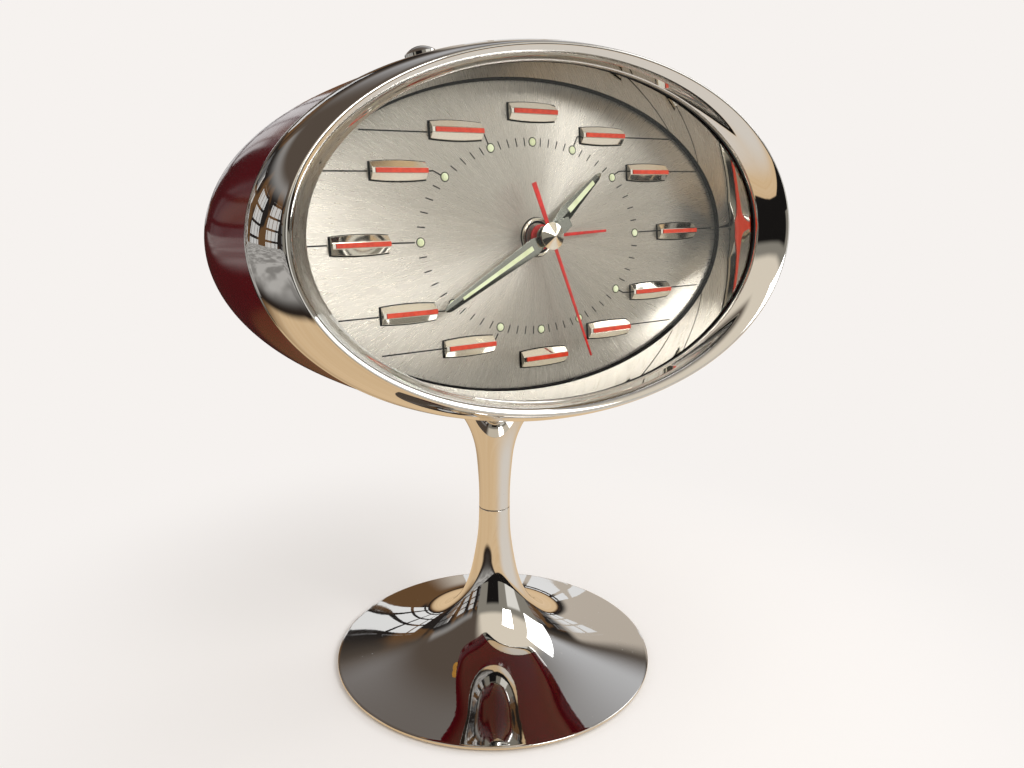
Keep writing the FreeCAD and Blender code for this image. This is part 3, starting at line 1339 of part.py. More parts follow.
def alarm_escape_wheel():
    """Wheel and pinion that rock the hammer while the alarm spring runs down."""
    leaves = pinion(ALARM_PINION_TEETH, GREAT_MODULE, GREAT_WHEEL_Z - PINION_REACH,
                    GREAT_WHEEL_Z + WHEEL_THICKNESS + PINION_REACH, VERGE_PLACE,
                    mesh_phase(ALARM_PINION_TEETH, VERGE_DIRECTION + 180, 0.5))
    disc = pointed_wheel(VERGE_TEETH, VERGE_RADIUS, SECOND_WHEEL_Z, SECOND_WHEEL_Z + WHEEL_THICKNESS,
                         VERGE_PLACE, 0.0)
    return fused([arbor(VERGE_PLACE), leaves, disc])


def hammer_place():
    """Place of the hammer's head just off the bell, square to its arm."""
    dx = HAMMER_ARBOR_PLACE[0] - BELL_PLACE[0]
    dy = HAMMER_ARBOR_PLACE[1] - BELL_PLACE[1]
    reach = BELL_RADIUS + BELL_GAP + HAMMER_RADIUS
    turn = math.degrees(math.acos(reach / math.hypot(dx, dy)))
    return polar(reach, math.degrees(math.atan2(dy, dx)) - turn, BELL_PLACE)


def alarm_hammer():
    """Hammer on its arbor, with the two pins that the alarm wheel kicks."""
    high = BACK_BACK - HAMMER_STANDOFF
    low = high - HAMMER_THICKNESS
    anchor_low = SECOND_WHEEL_Z - LEVER_DROP
    anchor_high = anchor_low + THIN_WHEEL
    head = hammer_place()
    parts = [cylinder(THROUGH_RADIUS, low, FRONT_PLATE_Z, HAMMER_ARBOR_PLACE),
             cylinder(HAMMER_RADIUS, low, high, HAMMER_ARBOR_PLACE),
             bar(HAMMER_ARBOR_PLACE, head, HAMMER_ARM, low, high),
             cylinder(HAMMER_RADIUS, BELL_TOP - BELL_DEPTH + BELL_WALL, high, head),
             cylinder(HAMMER_ARM, anchor_low, anchor_high, HAMMER_ARBOR_PLACE)]
    towards = math.degrees(math.atan2(HAMMER_ARBOR_PLACE[1] - VERGE_PLACE[1],
                                      HAMMER_ARBOR_PLACE[0] - VERGE_PLACE[0]))
    for side in (1, -1):
        pin = polar(VERGE_RADIUS + VERGE_PIN_GAP, towards + side * VERGE_SPAN, VERGE_PLACE)
        parts.append(bar(HAMMER_ARBOR_PLACE, pin, LEVER_ARM, anchor_low, anchor_high))
        parts.append(cylinder(LEVER_ARM / 2, anchor_low, anchor_high, pin))
        parts.append(cylinder(PALLET_PIN, anchor_low, SECOND_WHEEL_Z + WHEEL_THICKNESS, pin))
    return fused(parts)


def alarm_bell():
    """Cup bell behind the back plate, open towards it."""
    cup = cylinder(BELL_RADIUS, BELL_TOP - BELL_DEPTH, BELL_TOP, BELL_PLACE)
    hollow = cylinder(BELL_RADIUS - BELL_WALL, BELL_TOP - BELL_DEPTH + BELL_WALL, BELL_TOP + 1, BELL_PLACE)
    return cup.cut(hollow).cut(cylinder(SCREW_RADIUS, BELL_TOP - BELL_DEPTH - 1, BELL_TOP, BELL_PLACE))


def bell_post():
    """Post and screw head that carry the bell on the back plate."""
    floor = BELL_TOP - BELL_DEPTH
    return fused([cylinder(SCREW_RADIUS, floor, BACK_FRONT, BELL_PLACE),
                  cylinder(BELL_POST_RADIUS, floor + BELL_WALL, BACK_BACK, BELL_PLACE),
                  cylinder(SCREW_HEAD_RADIUS, floor - SCREW_HEAD_HEIGHT, floor, BELL_PLACE)])


# Alarm stop button

def off_stand(shape):
    """Copy of a shape of the whole clock, seen from the head's own frame."""
    copy = shape.copy()
    copy.translate(Vector(0, -HEAD_Y, -HEAD_Z))
    copy.rotate(Vector(0, 0, 0), Vector(1, 0, 0), HEAD_TILT - 90)
    return copy


def button_frame():
    """Point on the shell under the button and the direction square to the shell there."""
    a, b, z, y_centre = shell_section(JOINT_Z - (FRONT_PLATE_Z - PLATE_THICKNESS / 2), 0.0)
    y = b * math.sqrt(1 - (BUTTON_X / a) ** 2)
    normal = Vector(BUTTON_X / a ** 2, y / b ** 2, 0)
    normal.normalize()
    return Vector(BUTTON_X, y_centre + y, z), normal


def on_shell(shape):
    """Copy of an upright shape stood on the shell under the button."""
    point, normal = button_frame()
    copy = shape.copy()
    stood = FreeCAD.Placement(point, FreeCAD.Rotation(Vector(0, 0, 1), normal))
    copy.Placement = stood.multiply(copy.Placement)
    return copy


def button_hole():
    """Round hole in the shell for the button."""
    return on_shell(cylinder(BUTTON_RADIUS + BUTTON_GAP, -SHELL_WALL * 3, SHELL_WALL * 3))


def alarm_stop_button():
    """Domed button with a flange inside the shell."""
    flange_high = -SHELL_WALL - BUTTON_FLANGE_DROP
    flange_low = flange_high - BUTTON_FLANGE
    straight_top = BUTTON_HEIGHT - BUTTON_DOME
    flange_radius = BUTTON_RADIUS + BUTTON_FLANGE_REACH
    dome_radius = (BUTTON_RADIUS ** 2 + BUTTON_DOME ** 2) / (2 * BUTTON_DOME)
    body = cylinder(BUTTON_RADIUS, flange_low, BUTTON_HEIGHT)
    dome = Part.makeSphere(dome_radius, Vector(0, 0, BUTTON_HEIGHT - dome_radius))
    body = body.common(dome.fuse(cylinder(flange_radius, flange_low, straight_top)))
    return on_shell(body.fuse(cylinder(flange_radius, flange_low, flange_high)).removeSplitter())


def spring_seat_height():
    """Height of the button spring's seat below the shell's face, along the button."""
    flange_low = -SHELL_WALL - BUTTON_FLANGE_DROP - BUTTON_FLANGE
    return flange_low - button_spring_length()


def button_spring_length():
    """Length of the button's spring while the button is up."""
    return BUTTON_SPRING_SOLID + BUTTON_TRAVEL + END_SHAKE


def spring_seat():
    """Tab of the front plate, with a round pad, that the button's spring stands on."""
    high = spring_seat_height()
    pad = on_shell(cylinder(BUTTON_SPRING_RADIUS + BUTTON_SPRING_WIRE, high - SPRING_PAD, high))
    point, normal = button_frame()
    head_reach = high - SPRING_PAD / 2
    foot = (point.x - normal.x * SPRING_TAB_LENGTH, point.y - normal.y * SPRING_TAB_LENGTH)
    head = (point.x + normal.x * head_reach, point.y + normal.y * head_reach)
    return pad.fuse(bar(foot, head, SPRING_TAB_WIDTH, FRONT_BACK, FRONT_PLATE_Z))


def button_spring():
    """Coil spring that lifts the button, of wire drawn with many flat sides."""
    low = spring_seat_height() + BUTTON_SPRING_WIRE / 2
    height = button_spring_length() - BUTTON_SPRING_WIRE
    coil_radius = BUTTON_SPRING_RADIUS - BUTTON_SPRING_WIRE / 2
    helix = Part.makeHelix(height / BUTTON_SPRING_TURNS, height, coil_radius)
    around = [polar(BUTTON_SPRING_WIRE / 2, 360.0 * k / SPRING_WIRE_SIDES) for k in range(SPRING_WIRE_SIDES)]
    corners = [Vector(coil_radius + x, 0, z) for x, z in around]
    coil = Part.Wire(helix).makePipeShell([Part.makePolygon(corners + corners[:1])], True, True)
    return on_shell(moved(coil, 0, 0, low))


def build():
    """Writes every node."""
    save("base_trumpet", base_trumpet())
    save("base_felt", base_felt())
    save("base_ballast", base_ballast())
    save("upper_stem", upper_stem())
    save("tie_rod", tie_rod())
    save("clamp_washer", clamp_washer())
    save("tie_rod_nuts", *tie_rod_nuts())
    save("saddle", saddle())
    save_head("rear_shell", rear_shell())
    save_head("bezel", bezel())
    save_head("crystal", crystal())
    save_head("crystal_gasket", crystal_gasket())
    save_head("reflector_ring", reflector_ring())
    save_head("dial_plate", dial_plate())
    save_head("dial_collar", dial_collar())
    save_head("hour_markers", *at_places(marker_shape(), quarter_places(MARKER_PLACES)))
    save_head("marker_stripes", *at_places(stripe_shape(), quarter_places(MARKER_PLACES)))
    save_head("lume_dots", *lume_dots())
    save_head("hour_hand", hour_hand())
    save_head("hour_hand_lume", hour_hand_lume())
    save_head("minute_hand", minute_hand())
    save_head("minute_hand_lume", minute_hand_lume())
    save_head("second_hand", second_hand())
    save_head("hand_cap", hand_cap())
    save_head("alarm_hand", alarm_hand())
    save_head("front_plate", front_plate())
    save_head("back_plate", back_plate())
    save_head("plate_pillars", *plate_pillars())
    save_head("plate_screws", *plate_screws())
    save_head("movement_screws", *movement_screws())
    save_head("centre_bridge", centre_bridge())
    save_head("centre_wheel", centre_wheel())
    save_head("cannon_pinion", cannon_pinion())
    save_head("hour_wheel", hour_wheel())
    save_head("alarm_wheel", alarm_wheel())
    save_head("minute_wheel", minute_wheel())
    save_head("third_wheel", third_wheel())
    save_head("seconds_wheel", seconds_wheel())
    save_head("escape_wheel", escape_wheel())
    save_head("pallet_lever", pallet_lever())
    save_head("balance_wheel", balance_wheel())
    save_head("hairspring", hairspring())
    save_head("regulator", regulator())
    save_head("great_wheel", winding_wheel(GREAT_TEETH, GREAT_PLACE, GREAT_DIRECTION + 180))
    save_head("winding_arbor", winding_arbor(GREAT_PLACE))
    save_head("winding_key", key(GREAT_PLACE))
    save_head("alarm_great_wheel", winding_wheel(ALARM_GREAT_TEETH, ALARM_GREAT_PLACE, VERGE_DIRECTION))
    save_head("alarm_winding_arbor", winding_arbor(ALARM_GREAT_PLACE))
    save_head("alarm_winding_key", key(ALARM_GREAT_PLACE))
    save_head("mainsprings", mainspring(GREAT_PLACE), mainspring(ALARM_GREAT_PLACE))
    save_head("time_set_knob", fused([setting_arbor(MINUTE_PLACE, motion_top()), knob(MINUTE_PLACE)]))
    save_head("alarm_set_knob", fused([setting_arbor(ALARM_SET_PLACE, alarm_set_top()),
                                       knob(ALARM_SET_PLACE), alarm_set_pinion()]))
    save_head("alarm_escape_wheel", alarm_escape_wheel())
    save_head("alarm_hammer", alarm_hammer())
    save_head("alarm_bell", alarm_bell())
    save_head("bell_post", bell_post())
    save_head("rear_cover", rear_cover())
    save_head("cover_screws", *cover_screws())
    save_head("alarm_stop_button", alarm_stop_button())
    save_head("button_spring", button_spring())


build()
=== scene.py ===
import json
import logging
import math
from dataclasses import dataclass, field
from enum import Enum
from typing import Callable, Iterable, Mapping, Sequence

import bmesh
import bpy
import numpy as np
from mathutils import Matrix, Vector


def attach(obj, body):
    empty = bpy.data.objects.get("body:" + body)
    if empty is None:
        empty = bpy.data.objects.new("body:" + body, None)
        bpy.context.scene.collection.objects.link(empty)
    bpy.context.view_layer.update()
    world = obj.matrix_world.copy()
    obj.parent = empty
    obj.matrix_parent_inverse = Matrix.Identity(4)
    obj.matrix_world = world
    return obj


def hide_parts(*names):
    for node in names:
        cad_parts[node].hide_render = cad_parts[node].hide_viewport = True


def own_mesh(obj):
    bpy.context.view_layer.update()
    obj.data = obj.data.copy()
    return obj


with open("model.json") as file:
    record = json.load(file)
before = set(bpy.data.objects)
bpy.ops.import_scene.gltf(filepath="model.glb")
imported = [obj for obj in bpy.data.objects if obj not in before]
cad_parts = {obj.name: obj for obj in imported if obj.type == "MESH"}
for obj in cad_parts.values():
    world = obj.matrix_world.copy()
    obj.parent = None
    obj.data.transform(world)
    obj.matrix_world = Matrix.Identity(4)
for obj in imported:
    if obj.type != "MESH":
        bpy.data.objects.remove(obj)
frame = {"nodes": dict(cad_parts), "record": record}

LOG = logging.getLogger("table_clock")
MM = 0.001
FULL_TURN = 2 * math.pi
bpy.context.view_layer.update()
Colour = tuple[float, float, float, float]
Triple = tuple[float, float, float]
Grid = np.ndarray


# Colour and number helpers

def srgb(text: str) -> Colour:
    """Linear colour of a six-digit hex colour.

    Args:
        text: the colour as RRGGBB.

    Returns:
        Red, green, blue and an alpha of 1, all linear.
    """
    parts = np.array([int(text[k:k + 2], 16) for k in (0, 2, 4)]) / 255.0
    linear = np.where(parts <= 0.04045, parts / 12.92, ((parts + 0.055) / 1.055) ** 2.4)
    return (float(linear[0]), float(linear[1]), float(linear[2]), 1.0)


# Shader building

def maths(operation: str, reflected: bool = False) -> Callable[..., "Wire"]:
    """Method of a wire that adds one Math node.

    Args:
        operation: name of the Math node's operation.
        reflected: whether the wire itself is the last input and not the first.

    Returns:
        The method, which takes the node's other inputs in order.
    """
    def method(wire: "Wire", *others: "Wire | float") -> "Wire":
        """Result of the node on this wire and the others."""
        values = dict(enumerate((*others, wire) if reflected else (wire, *others)))
        return wire.bench.node("ShaderNodeMath", {"operation": operation}, values)["Value"]
    return method


class Wire:
    """A socket of a node tree that takes part in Python arithmetic.

    Greater gives 1 or 0, higher is the higher of two values, angle is the direction in radians
    of the point whose rise is this wire and whose run is given, and wave is the sine.
    """

    __add__ = __radd__ = maths("ADD")
    __mul__ = __rmul__ = maths("MULTIPLY")
    __sub__ = maths("SUBTRACT")
    __rsub__ = maths("SUBTRACT", reflected=True)
    __truediv__ = maths("DIVIDE")
    __pow__ = maths("POWER")
    __gt__ = maths("GREATER_THAN")
    higher = maths("MAXIMUM")
    angle = maths("ARCTAN2")
    wave = maths("SINE")

    def __init__(self, bench: "Bench", socket: bpy.types.NodeSocket) -> None:
        """Wraps one output socket of the bench's tree."""
        self.bench = bench
        self.socket = socket

    def ramp(self, start: float, end: float) -> "Wire":
        """Smooth rise from 0 at start to 1 at end.

        Args:
            start: value that gives 0.
            end: value that gives 1.

        Returns:
            The smoothed share.
        """
        settings = {"interpolation_type": "SMOOTHSTEP", "clamp": True}
        return self.bench.node("ShaderNodeMapRange", settings,
                               {"Value": self, "From Min": start, "From Max": end})["Result"]


class Bench:
    """One node tree that is being wired.

    The Mix node has the same socket names for numbers, vectors and colours, so its colour
    sockets are told by their index.
    """

    MIX_SHARE, MIX_FIRST, MIX_SECOND, MIX_COLOUR = 0, 6, 7, 2

    def __init__(self, tree: bpy.types.NodeTree) -> None:
        """Clears the tree."""
        self.tree = tree
        tree.nodes.clear()

    def node(self, kind: str, settings: Mapping[str, object] | None = None,
             inputs: Mapping[object, object] | None = None) -> "Outputs":
        """Adds a node, the only way in which nodes are made here.

        Args:
            kind: the node's type name.
            settings: attributes that are set before the sockets, such as an operation. The
                entry stops is a list of position and colour pairs for a colour ramp.
            inputs: a value or a wire for each socket, by name or index.

        Returns:
            The node's outputs.
        """
        made = self.tree.nodes.new(kind)
        for name, value in (settings or {}).items():
            if name == "stops":
                self._stops(made.color_ramp, value)
            else:
                setattr(made, name, value)
        for name, value in (inputs or {}).items():
            socket = made.inputs[name]
            if isinstance(value, Wire):
                self.tree.links.new(value.socket, socket)
            else:
                socket.default_value = value
        return Outputs(self, made)

    @staticmethod
    def _stops(ramp: bpy.types.ColorRamp, stops: Sequence[tuple[float, Sequence[float]]]) -> None:
        """Sets a colour ramp's stops.

        Args:
            ramp: the node's colour ramp.
            stops: pairs of position and colour.
        """
        while len(ramp.elements) < len(stops):
            ramp.elements.new(1.0)
        for element, (position, colour) in zip(ramp.elements, stops):
            element.position = position
            element.color = colour

    def place(self, turn: float = 0.0, shift: Triple = (0.0, 0.0, 0.0)) -> "Wire":
        """Object coordinates, shifted and then turned about X onto a tilted plane.

        Args:
            turn: turn about X in radians.
            shift: point in metres that becomes the middle of the pattern.

        Returns:
            The coordinates as a vector.
        """
        vector = self.node("ShaderNodeTexCoord")["Object"]
        inputs = {"Vector": self.vector("SUBTRACT", vector, shift), "Rotation": (turn, 0.0, 0.0)}
        return self.node("ShaderNodeMapping", {"vector_type": "POINT"}, inputs)["Vector"]

    def vector(self, operation: str, *values: object, **named: object) -> "Wire":
        """Result of a Vector Math node whose inputs come in order or by name."""
        inputs = {**dict(enumerate(values)), **named}
        return self.node("ShaderNodeVectorMath", {"operation": operation}, inputs)["Vector"]

    def split(self, vector: Wire) -> tuple[Wire, Wire, Wire]:
        """The three parts of a vector."""
        out = self.node("ShaderNodeSeparateXYZ", None, {"Vector": vector})
        return out["X"], out["Y"], out["Z"]

    def join(self, x: Wire | float, y: Wire | float, z: Wire | float) -> Wire:
        """A vector from three parts."""
        return self.node("ShaderNodeCombineXYZ", None, {"X": x, "Y": y, "Z": z})["Vector"]

    def noise(self, vector: Wire, scale: float, detail: float = 2.0,
              roughness: float = 0.5) -> Wire:
        """Smooth noise from 0 to 1: waves per metre, octaves, share of the fine ones."""
        inputs = {"Vector": vector, "Scale": scale, "Detail": detail, "Roughness": roughness}
        return self.node("ShaderNodeTexNoise", None, inputs)["Fac"]

    def specks(self, vector: Wire, scale: float, radius: float) -> Wire:
        """1 in small round specks strewn at random, else 0.

        Args:
            vector: coordinates.
            scale: specks per metre.
            radius: radius of a speck as a share of their spacing.

        Returns:
            The mask.
        """
        inputs = {"Vector": vector, "Scale": scale, "Randomness": 1.0}
        distance = self.node("ShaderNodeTexVoronoi", {"feature": "F1"}, inputs)["Distance"]
        return 1.0 - distance.ramp(radius * 0.5, radius)

    def mix(self, share: Wire | float, first: object, second: object) -> Wire:
        """Blend of two colours by a share."""
        inputs = {self.MIX_SHARE: share, self.MIX_FIRST: first, self.MIX_SECOND: second}
        return self.node("ShaderNodeMix", {"data_type": "RGBA"}, inputs).at(self.MIX_COLOUR)

    def bump(self, height: Wire, distance: float, **more: object) -> Wire:
        """Normal that follows a height, given as a share of a depth in metres."""
        inputs = {"Height": height, "Distance": distance, "Strength": 1.0, **more}
        return self.node("ShaderNodeBump", None, inputs)["Normal"]

    def surface(self, **sockets: object) -> None:
        """Ends the tree in a Principled surface; names use underscores for spaces."""
        inputs = {name.replace("_", " "): value for name, value in sockets.items()}
        self.end(self.node("ShaderNodeBsdfPrincipled", None, inputs)["BSDF"])

    def blend(self, share: Wire | float, first: Wire, second: Wire) -> Wire:
        """Mix of two shaders by a share."""
        return self.node("ShaderNodeMixShader", None, {0: share, 1: first, 2: second})["Shader"]

    def glow(self, colour: object) -> Wire:
        """Plain emission of a colour."""
        return self.node("ShaderNodeEmission", None, {"Color": colour, "Strength": 1.0})["Emission"]

    def end(self, shader: Wire) -> None:
        """Ends a material's tree in a shader."""
        self.node("ShaderNodeOutputMaterial", None, {"Surface": shader})


class Outputs:
    """The output sockets of a node that was just made."""

    def __init__(self, bench: Bench, made: bpy.types.Node) -> None:
        """Keeps the node."""
        self.bench = bench
        self.made = made

    def __getitem__(self, name: str) -> Wire:
        """Output of a name."""
        return Wire(self.bench, self.made.outputs[name])

    def at(self, index: int) -> Wire:
        """Output of an index."""
        return Wire(self.bench, self.made.outputs[index])


# Finishes

@dataclass(frozen=True)
class Finish:
    """A surface finish that makes its own material once."""

    name: str

    def material(self) -> bpy.types.Material:
        """The finish's material, made when it is first asked for.

        Returns:
            The material.
        """
        found = bpy.data.materials.get(self.name)
        if found is None:
            found = bpy.data.materials.new(self.name)
            found.use_nodes = True
            self.wire(Bench(found.node_tree))
        return found

    def wire(self, bench: Bench) -> None:
        """Wires the nodes of the finish."""
        raise NotImplementedError


@dataclass(frozen=True)
class Chrome(Finish):
    """Bright plating with faint polishing haze, fine scratches and a little dust."""

    tint: Colour = srgb("E4E3E1")
    roughness: float = 0.02
    haze: float = 0.03
    dust: float = 0.35
    scratch: Triple = (900.0, 900.0, 60.0)

    def wire(self, bench: Bench) -> None:
        """Noise sets the haze, stretched noise the scratches and a cell pattern the dust.

        Args:
            bench: tree of the material.
        """
        place = bench.place()
        haze = bench.noise(place, 60.0, 3.0).ramp(0.45, 0.8)
        specks = bench.specks(place, 420.0, 0.09)
        dusty = bench.noise(place, 45.0).ramp(0.5, 0.75)
        dust = specks * dusty * self.dust
        scratches = bench.noise(bench.vector("MULTIPLY", place, self.scratch), 1.0, 2.0)
        bench.surface(Base_Color=bench.mix(dust, self.tint, srgb("B9B4AC")),
                      Metallic=1.0 - dust * 0.8,
                      Roughness=haze * self.haze + dust * 0.4 + self.roughness,
                      Normal=bench.bump(scratches * 0.15, 0.000012))


@dataclass(frozen=True)
class Moulding(Finish):
    """Hard glossy plastic with a faint swirl of pigment and polish marks."""

    colour: Colour = srgb("5E0612")
    deep: Colour = srgb("3A030A")
    roughness: float = 0.07

    def wire(self, bench: Bench) -> None:
        """Noise mixes two pigments and varies the gloss.

        Args:
            bench: tree of the material.
        """
        place = bench.place()
        swirl = bench.noise(place, 22.0, 3.0)
        specks = bench.specks(place, 380.0, 0.08)
        dust = specks * bench.noise(place, 50.0).ramp(0.52, 0.8) * 0.4
        pigment = bench.mix(swirl, self.deep, self.colour)
        height = bench.noise(place, 120.0, 2.0) * 0.5 + bench.noise(place, 18.0)
        polish = bench.noise(place, 90.0) * 0.05
        bench.surface(Base_Color=bench.mix(dust, pigment, srgb("8A7470")),
                      Roughness=polish + dust * 0.3 + self.roughness,
                      IOR=1.5, Normal=bench.bump(height, 0.00003))


@dataclass(frozen=True)
class Grained(Finish):
    """Matt moulded plastic or rubber with a fine leathery grain."""

    colour: Colour = srgb("1B1919")
    roughness: float = 0.5
    scale: float = 1500.0
    depth: float = 0.00005

    def wire(self, bench: Bench) -> None:
        """Two noises make the grain and rub it brighter in places.

        Args:
            bench: tree of the material.
        """
        place = bench.place()
        grain = bench.noise(place, self.scale, 3.0)
        rubbed = bench.noise(place, 70.0, 2.0).ramp(0.45, 0.75)
        lighter = (*(min(1.0, part * 1.8 + 0.004) for part in self.colour[:3]), 1.0)
        bench.surface(Base_Color=bench.mix(rubbed, self.colour, lighter),
                      Roughness=rubbed * -0.12 + grain * 0.1 + self.roughness,
                      Normal=bench.bump(grain, self.depth))


@dataclass(frozen=True)
class Metal(Finish):
    """Turned or rolled metal with directional brushing and slight tarnish."""

    tint: Colour = srgb("C9A765")
    tarnish: Colour = srgb("8C6A36")
    roughness: float = 0.26
    grain: Triple = (3000.0, 90.0, 3000.0)

    def wire(self, bench: Bench) -> None:
        """Stretched noise brushes the metal and slow noise tarnishes it.

        Args:
            bench: tree of the material.
        """
        place = bench.place()
        streak = bench.noise(bench.vector("MULTIPLY", place, self.grain), 1.0, 3.0)
        patch = bench.noise(place, 110.0, 4.0).ramp(0.42, 0.75)
        bench.surface(Base_Color=bench.mix(patch * 0.6, self.tint, self.tarnish), Metallic=1.0,
                      Roughness=patch * 0.12 + streak * 0.12 + self.roughness,
                      Normal=bench.bump(streak, 0.00002))


@dataclass(frozen=True)
class Enamel(Finish):
    """Thin even coat of paint or ink with a slight orange peel."""

    colour: Colour = srgb("D6401F")
    roughness: float = 0.35
    edge: Colour = srgb("B52E12")
    gloss: float = 0.4

    def wire(self, bench: Bench) -> None:
        """Noise varies the thickness of the coat.

        Args:
            bench: tree of the material.
        """
        place = bench.place()
        coat = bench.noise(place, 700.0, 3.0)
        bench.surface(Base_Color=bench.mix(coat.ramp(0.35, 0.7), self.edge, self.colour),
                      Roughness=coat * 0.15 + self.roughness, Specular_IOR_Level=self.gloss,
                      Normal=bench.bump(coat, 0.000015))


@dataclass(frozen=True)
class Lume(Finish):
    """Pale luminous paint, slightly grainy and aged unevenly."""

    fresh: Colour = srgb("E6EEC6")
    aged: Colour = srgb("D5DCAE")

    def wire(self, bench: Bench) -> None:
        """Fine noise roughens the paint and slow noise ages it.

        Args:
            bench: tree of the material.
        """
        place = bench.place()
        grit = bench.noise(place, 3500.0, 3.0)
        age = bench.noise(place, 260.0).ramp(0.35, 0.7)
        bench.surface(Base_Color=bench.mix(age, self.fresh, self.aged),
                      Roughness=0.7 + grit * 0.2, Normal=bench.bump(grit, 0.00004))


@dataclass(frozen=True)
class Sunray(Finish):
    """Silvered dial with fine brushing that runs out from its middle, and broad wedges of painted
    highlight and shade in its colour.
    """

    tilt: float = 0.0
    middle: Triple = (0.0, 0.0, 0.0)
    tint: Colour = srgb("D2CDC2")
    shade: Colour = srgb("ABA79E")
    roughness: float = 0.24
    spread: float = 0.62

    def wire(self, bench: Bench) -> None:
        """Every point of the brushing is tilted at random across the rays, which are tinted along.
        Broad wedges round the middle are lighter and darker in the colour: painted highlight and
        shade standing for the bow-tie sheen.

        With the direction t across the ray and a random share w, the normal is
        n + spread (w - 1/2) t.

        Args:
            bench: tree of the material.
        """
        x, y, z = bench.split(bench.place(self.tilt, self.middle))
        reach = (x * x + y * y + 1e-9) ** 0.5
        unit = bench.join(x / reach, y / reach, reach * 0.6)
        fine = bench.noise(unit, 320.0, 3.0, 0.6)
        # painted highlight and shade: broad wedges round the middle, lighter and darker
        painted_bow_tie = bench.noise(unit, 9.0, 3.0)
        place = bench.place()
        share = bench.node("ShaderNodeTexWhiteNoise", {"noise_dimensions": "3D"},
                           {"Vector": place})["Value"]
        plane = self.tilt + math.pi / 2
        across = bench.join(y / reach * -1.0, x / reach * -math.sin(plane),
                            x / reach * math.cos(plane))
        lean = bench.vector("SCALE", across, Scale=(share - 0.5) * self.spread)
        facing = bench.node("ShaderNodeNewGeometry")["Normal"]
        normal = bench.vector("NORMALIZE", bench.vector("ADD", facing, lean))
        # the broad wedges are painted highlight and shade; the fine streaks are the brushing's own
        # tone
        painted_wedges_and_brushing = painted_bow_tie.ramp(0.3, 0.7) * 0.2 + fine.ramp(0.35, 0.7) * 0.22
        bench.surface(Base_Color=bench.mix(painted_wedges_and_brushing, self.tint, self.shade), Metallic=0.9,
                      Roughness=fine * 0.08 + self.roughness,
                      Normal=bench.bump(fine, 0.000001, Normal=normal))


@dataclass(frozen=True)
class ClearGlass(Finish):
    """Flat clear glass that shows mostly where it is seen at a slant."""

    index: float = 1.45
    share: float = 0.45

    def wire(self, bench: Bench) -> None:
        """A white mirror whose alpha is a share of Fresnel's, the same from both sides of the pane.

        Args:
            bench: tree of the material.
        """
        smear = bench.noise(bench.place(), 35.0, 3.0).ramp(0.5, 0.9)
        leaving = bench.node("ShaderNodeNewGeometry")["Backfacing"]
        index = self.index - leaving * (self.index - 1 / self.index)
        facing = bench.node("ShaderNodeFresnel", None, {"IOR": index})["Fac"]
        bench.surface(Base_Color=srgb("F4F8F5"), Metallic=1.0, Roughness=smear * 0.02 + 0.01,
                      Alpha=facing * self.share + smear * 0.008)


@dataclass(frozen=True)
class Felted(Finish):
    """Pressed felt with short fibres."""

    colour: Colour = srgb("26262B")

    def wire(self, bench: Bench) -> None:
        """Two noises tangle the fibres.

        Args:
            bench: tree of the material.
        """
        place = bench.place()
        fibre = bench.noise(place, 1800.0, 5.0, 0.7)
        bench.surface(Base_Color=bench.mix(fibre, srgb("19191C"), self.colour), Roughness=0.95,
                      Sheen_Weight=0.3, Normal=bench.bump(fibre, 0.0002))


@dataclass(frozen=True)
class Palette:
    """All finishes of the clock."""

    chrome: Finish = Chrome("chrome_plate")
    base_chrome: Finish = Chrome("base_chrome_plate", dust=0.9)
    wall_chrome: Finish = Chrome("wall_mirror", roughness=0.015, haze=0.0, dust=0.15)
    trim: Finish = Chrome("polished_trim", srgb("F2EEE2"), roughness=0.06, dust=0.1)
    nickel: Finish = Chrome("hand_nickel", srgb("94968E"), roughness=0.12, dust=0.05)
    burgundy: Finish = Moulding("burgundy_moulding")
    black: Finish = Grained("black_plastic")
    cover: Finish = Grained("cover_plastic", srgb("211E1E"), 0.45, 900.0, 0.00008)
    rubber: Finish = Grained("black_rubber", srgb("0F1211"), 0.7, 2400.0, 0.00003)
    brass: Finish = Metal("plate_brass")
    wheel_brass: Finish = Metal("wheel_brass", srgb("D2B06A"), srgb("9C7A40"), 0.2,
                                (90.0, 3000.0, 90.0))
    steel: Finish = Metal("turned_steel", srgb("B4B3B2"), srgb("85827F"), 0.24,
                          (1200.0, 1200.0, 200.0))
    blued: Finish = Metal("blued_steel", srgb("3A4459"), srgb("5A4A3C"), 0.3,
                          (200.0, 2200.0, 200.0))
    iron: Finish = Grained("cast_iron", srgb("4A4745"), 0.7, 700.0, 0.0003)
    orange: Finish = Enamel("orange_enamel", srgb("E2431E"), 0.35, srgb("CF3413"))
    red: Finish = Enamel("red_enamel", srgb("D8231C"), 0.3, srgb("B81A12"))
    ink: Finish = Enamel("black_ink", srgb("09090B"), 0.5, srgb("121214"), 0.08)
    lume: Finish = Lume("luminous_paint")
    glass: Finish = ClearGlass("clear_glass")
    felt: Finish = Felted("foot_felt")


# Surfaces


def lathe(profile: Grid, segments: int = 192) -> Grid:
    """Surface of revolution about Z: x = r cos t, y = r sin t, z from the profile.

    Args:
        profile: radius and height rows.
        segments: steps round the axis.

    Returns:
        Grid of points, profile by angle.
    """
    turn = np.linspace(0.0, FULL_TURN, segments, endpoint=False)
    radius, height = profile[:, :1], profile[:, 1:2]
    return np.stack([radius * np.cos(turn), radius * np.sin(turn), height + 0 * turn], axis=-1)


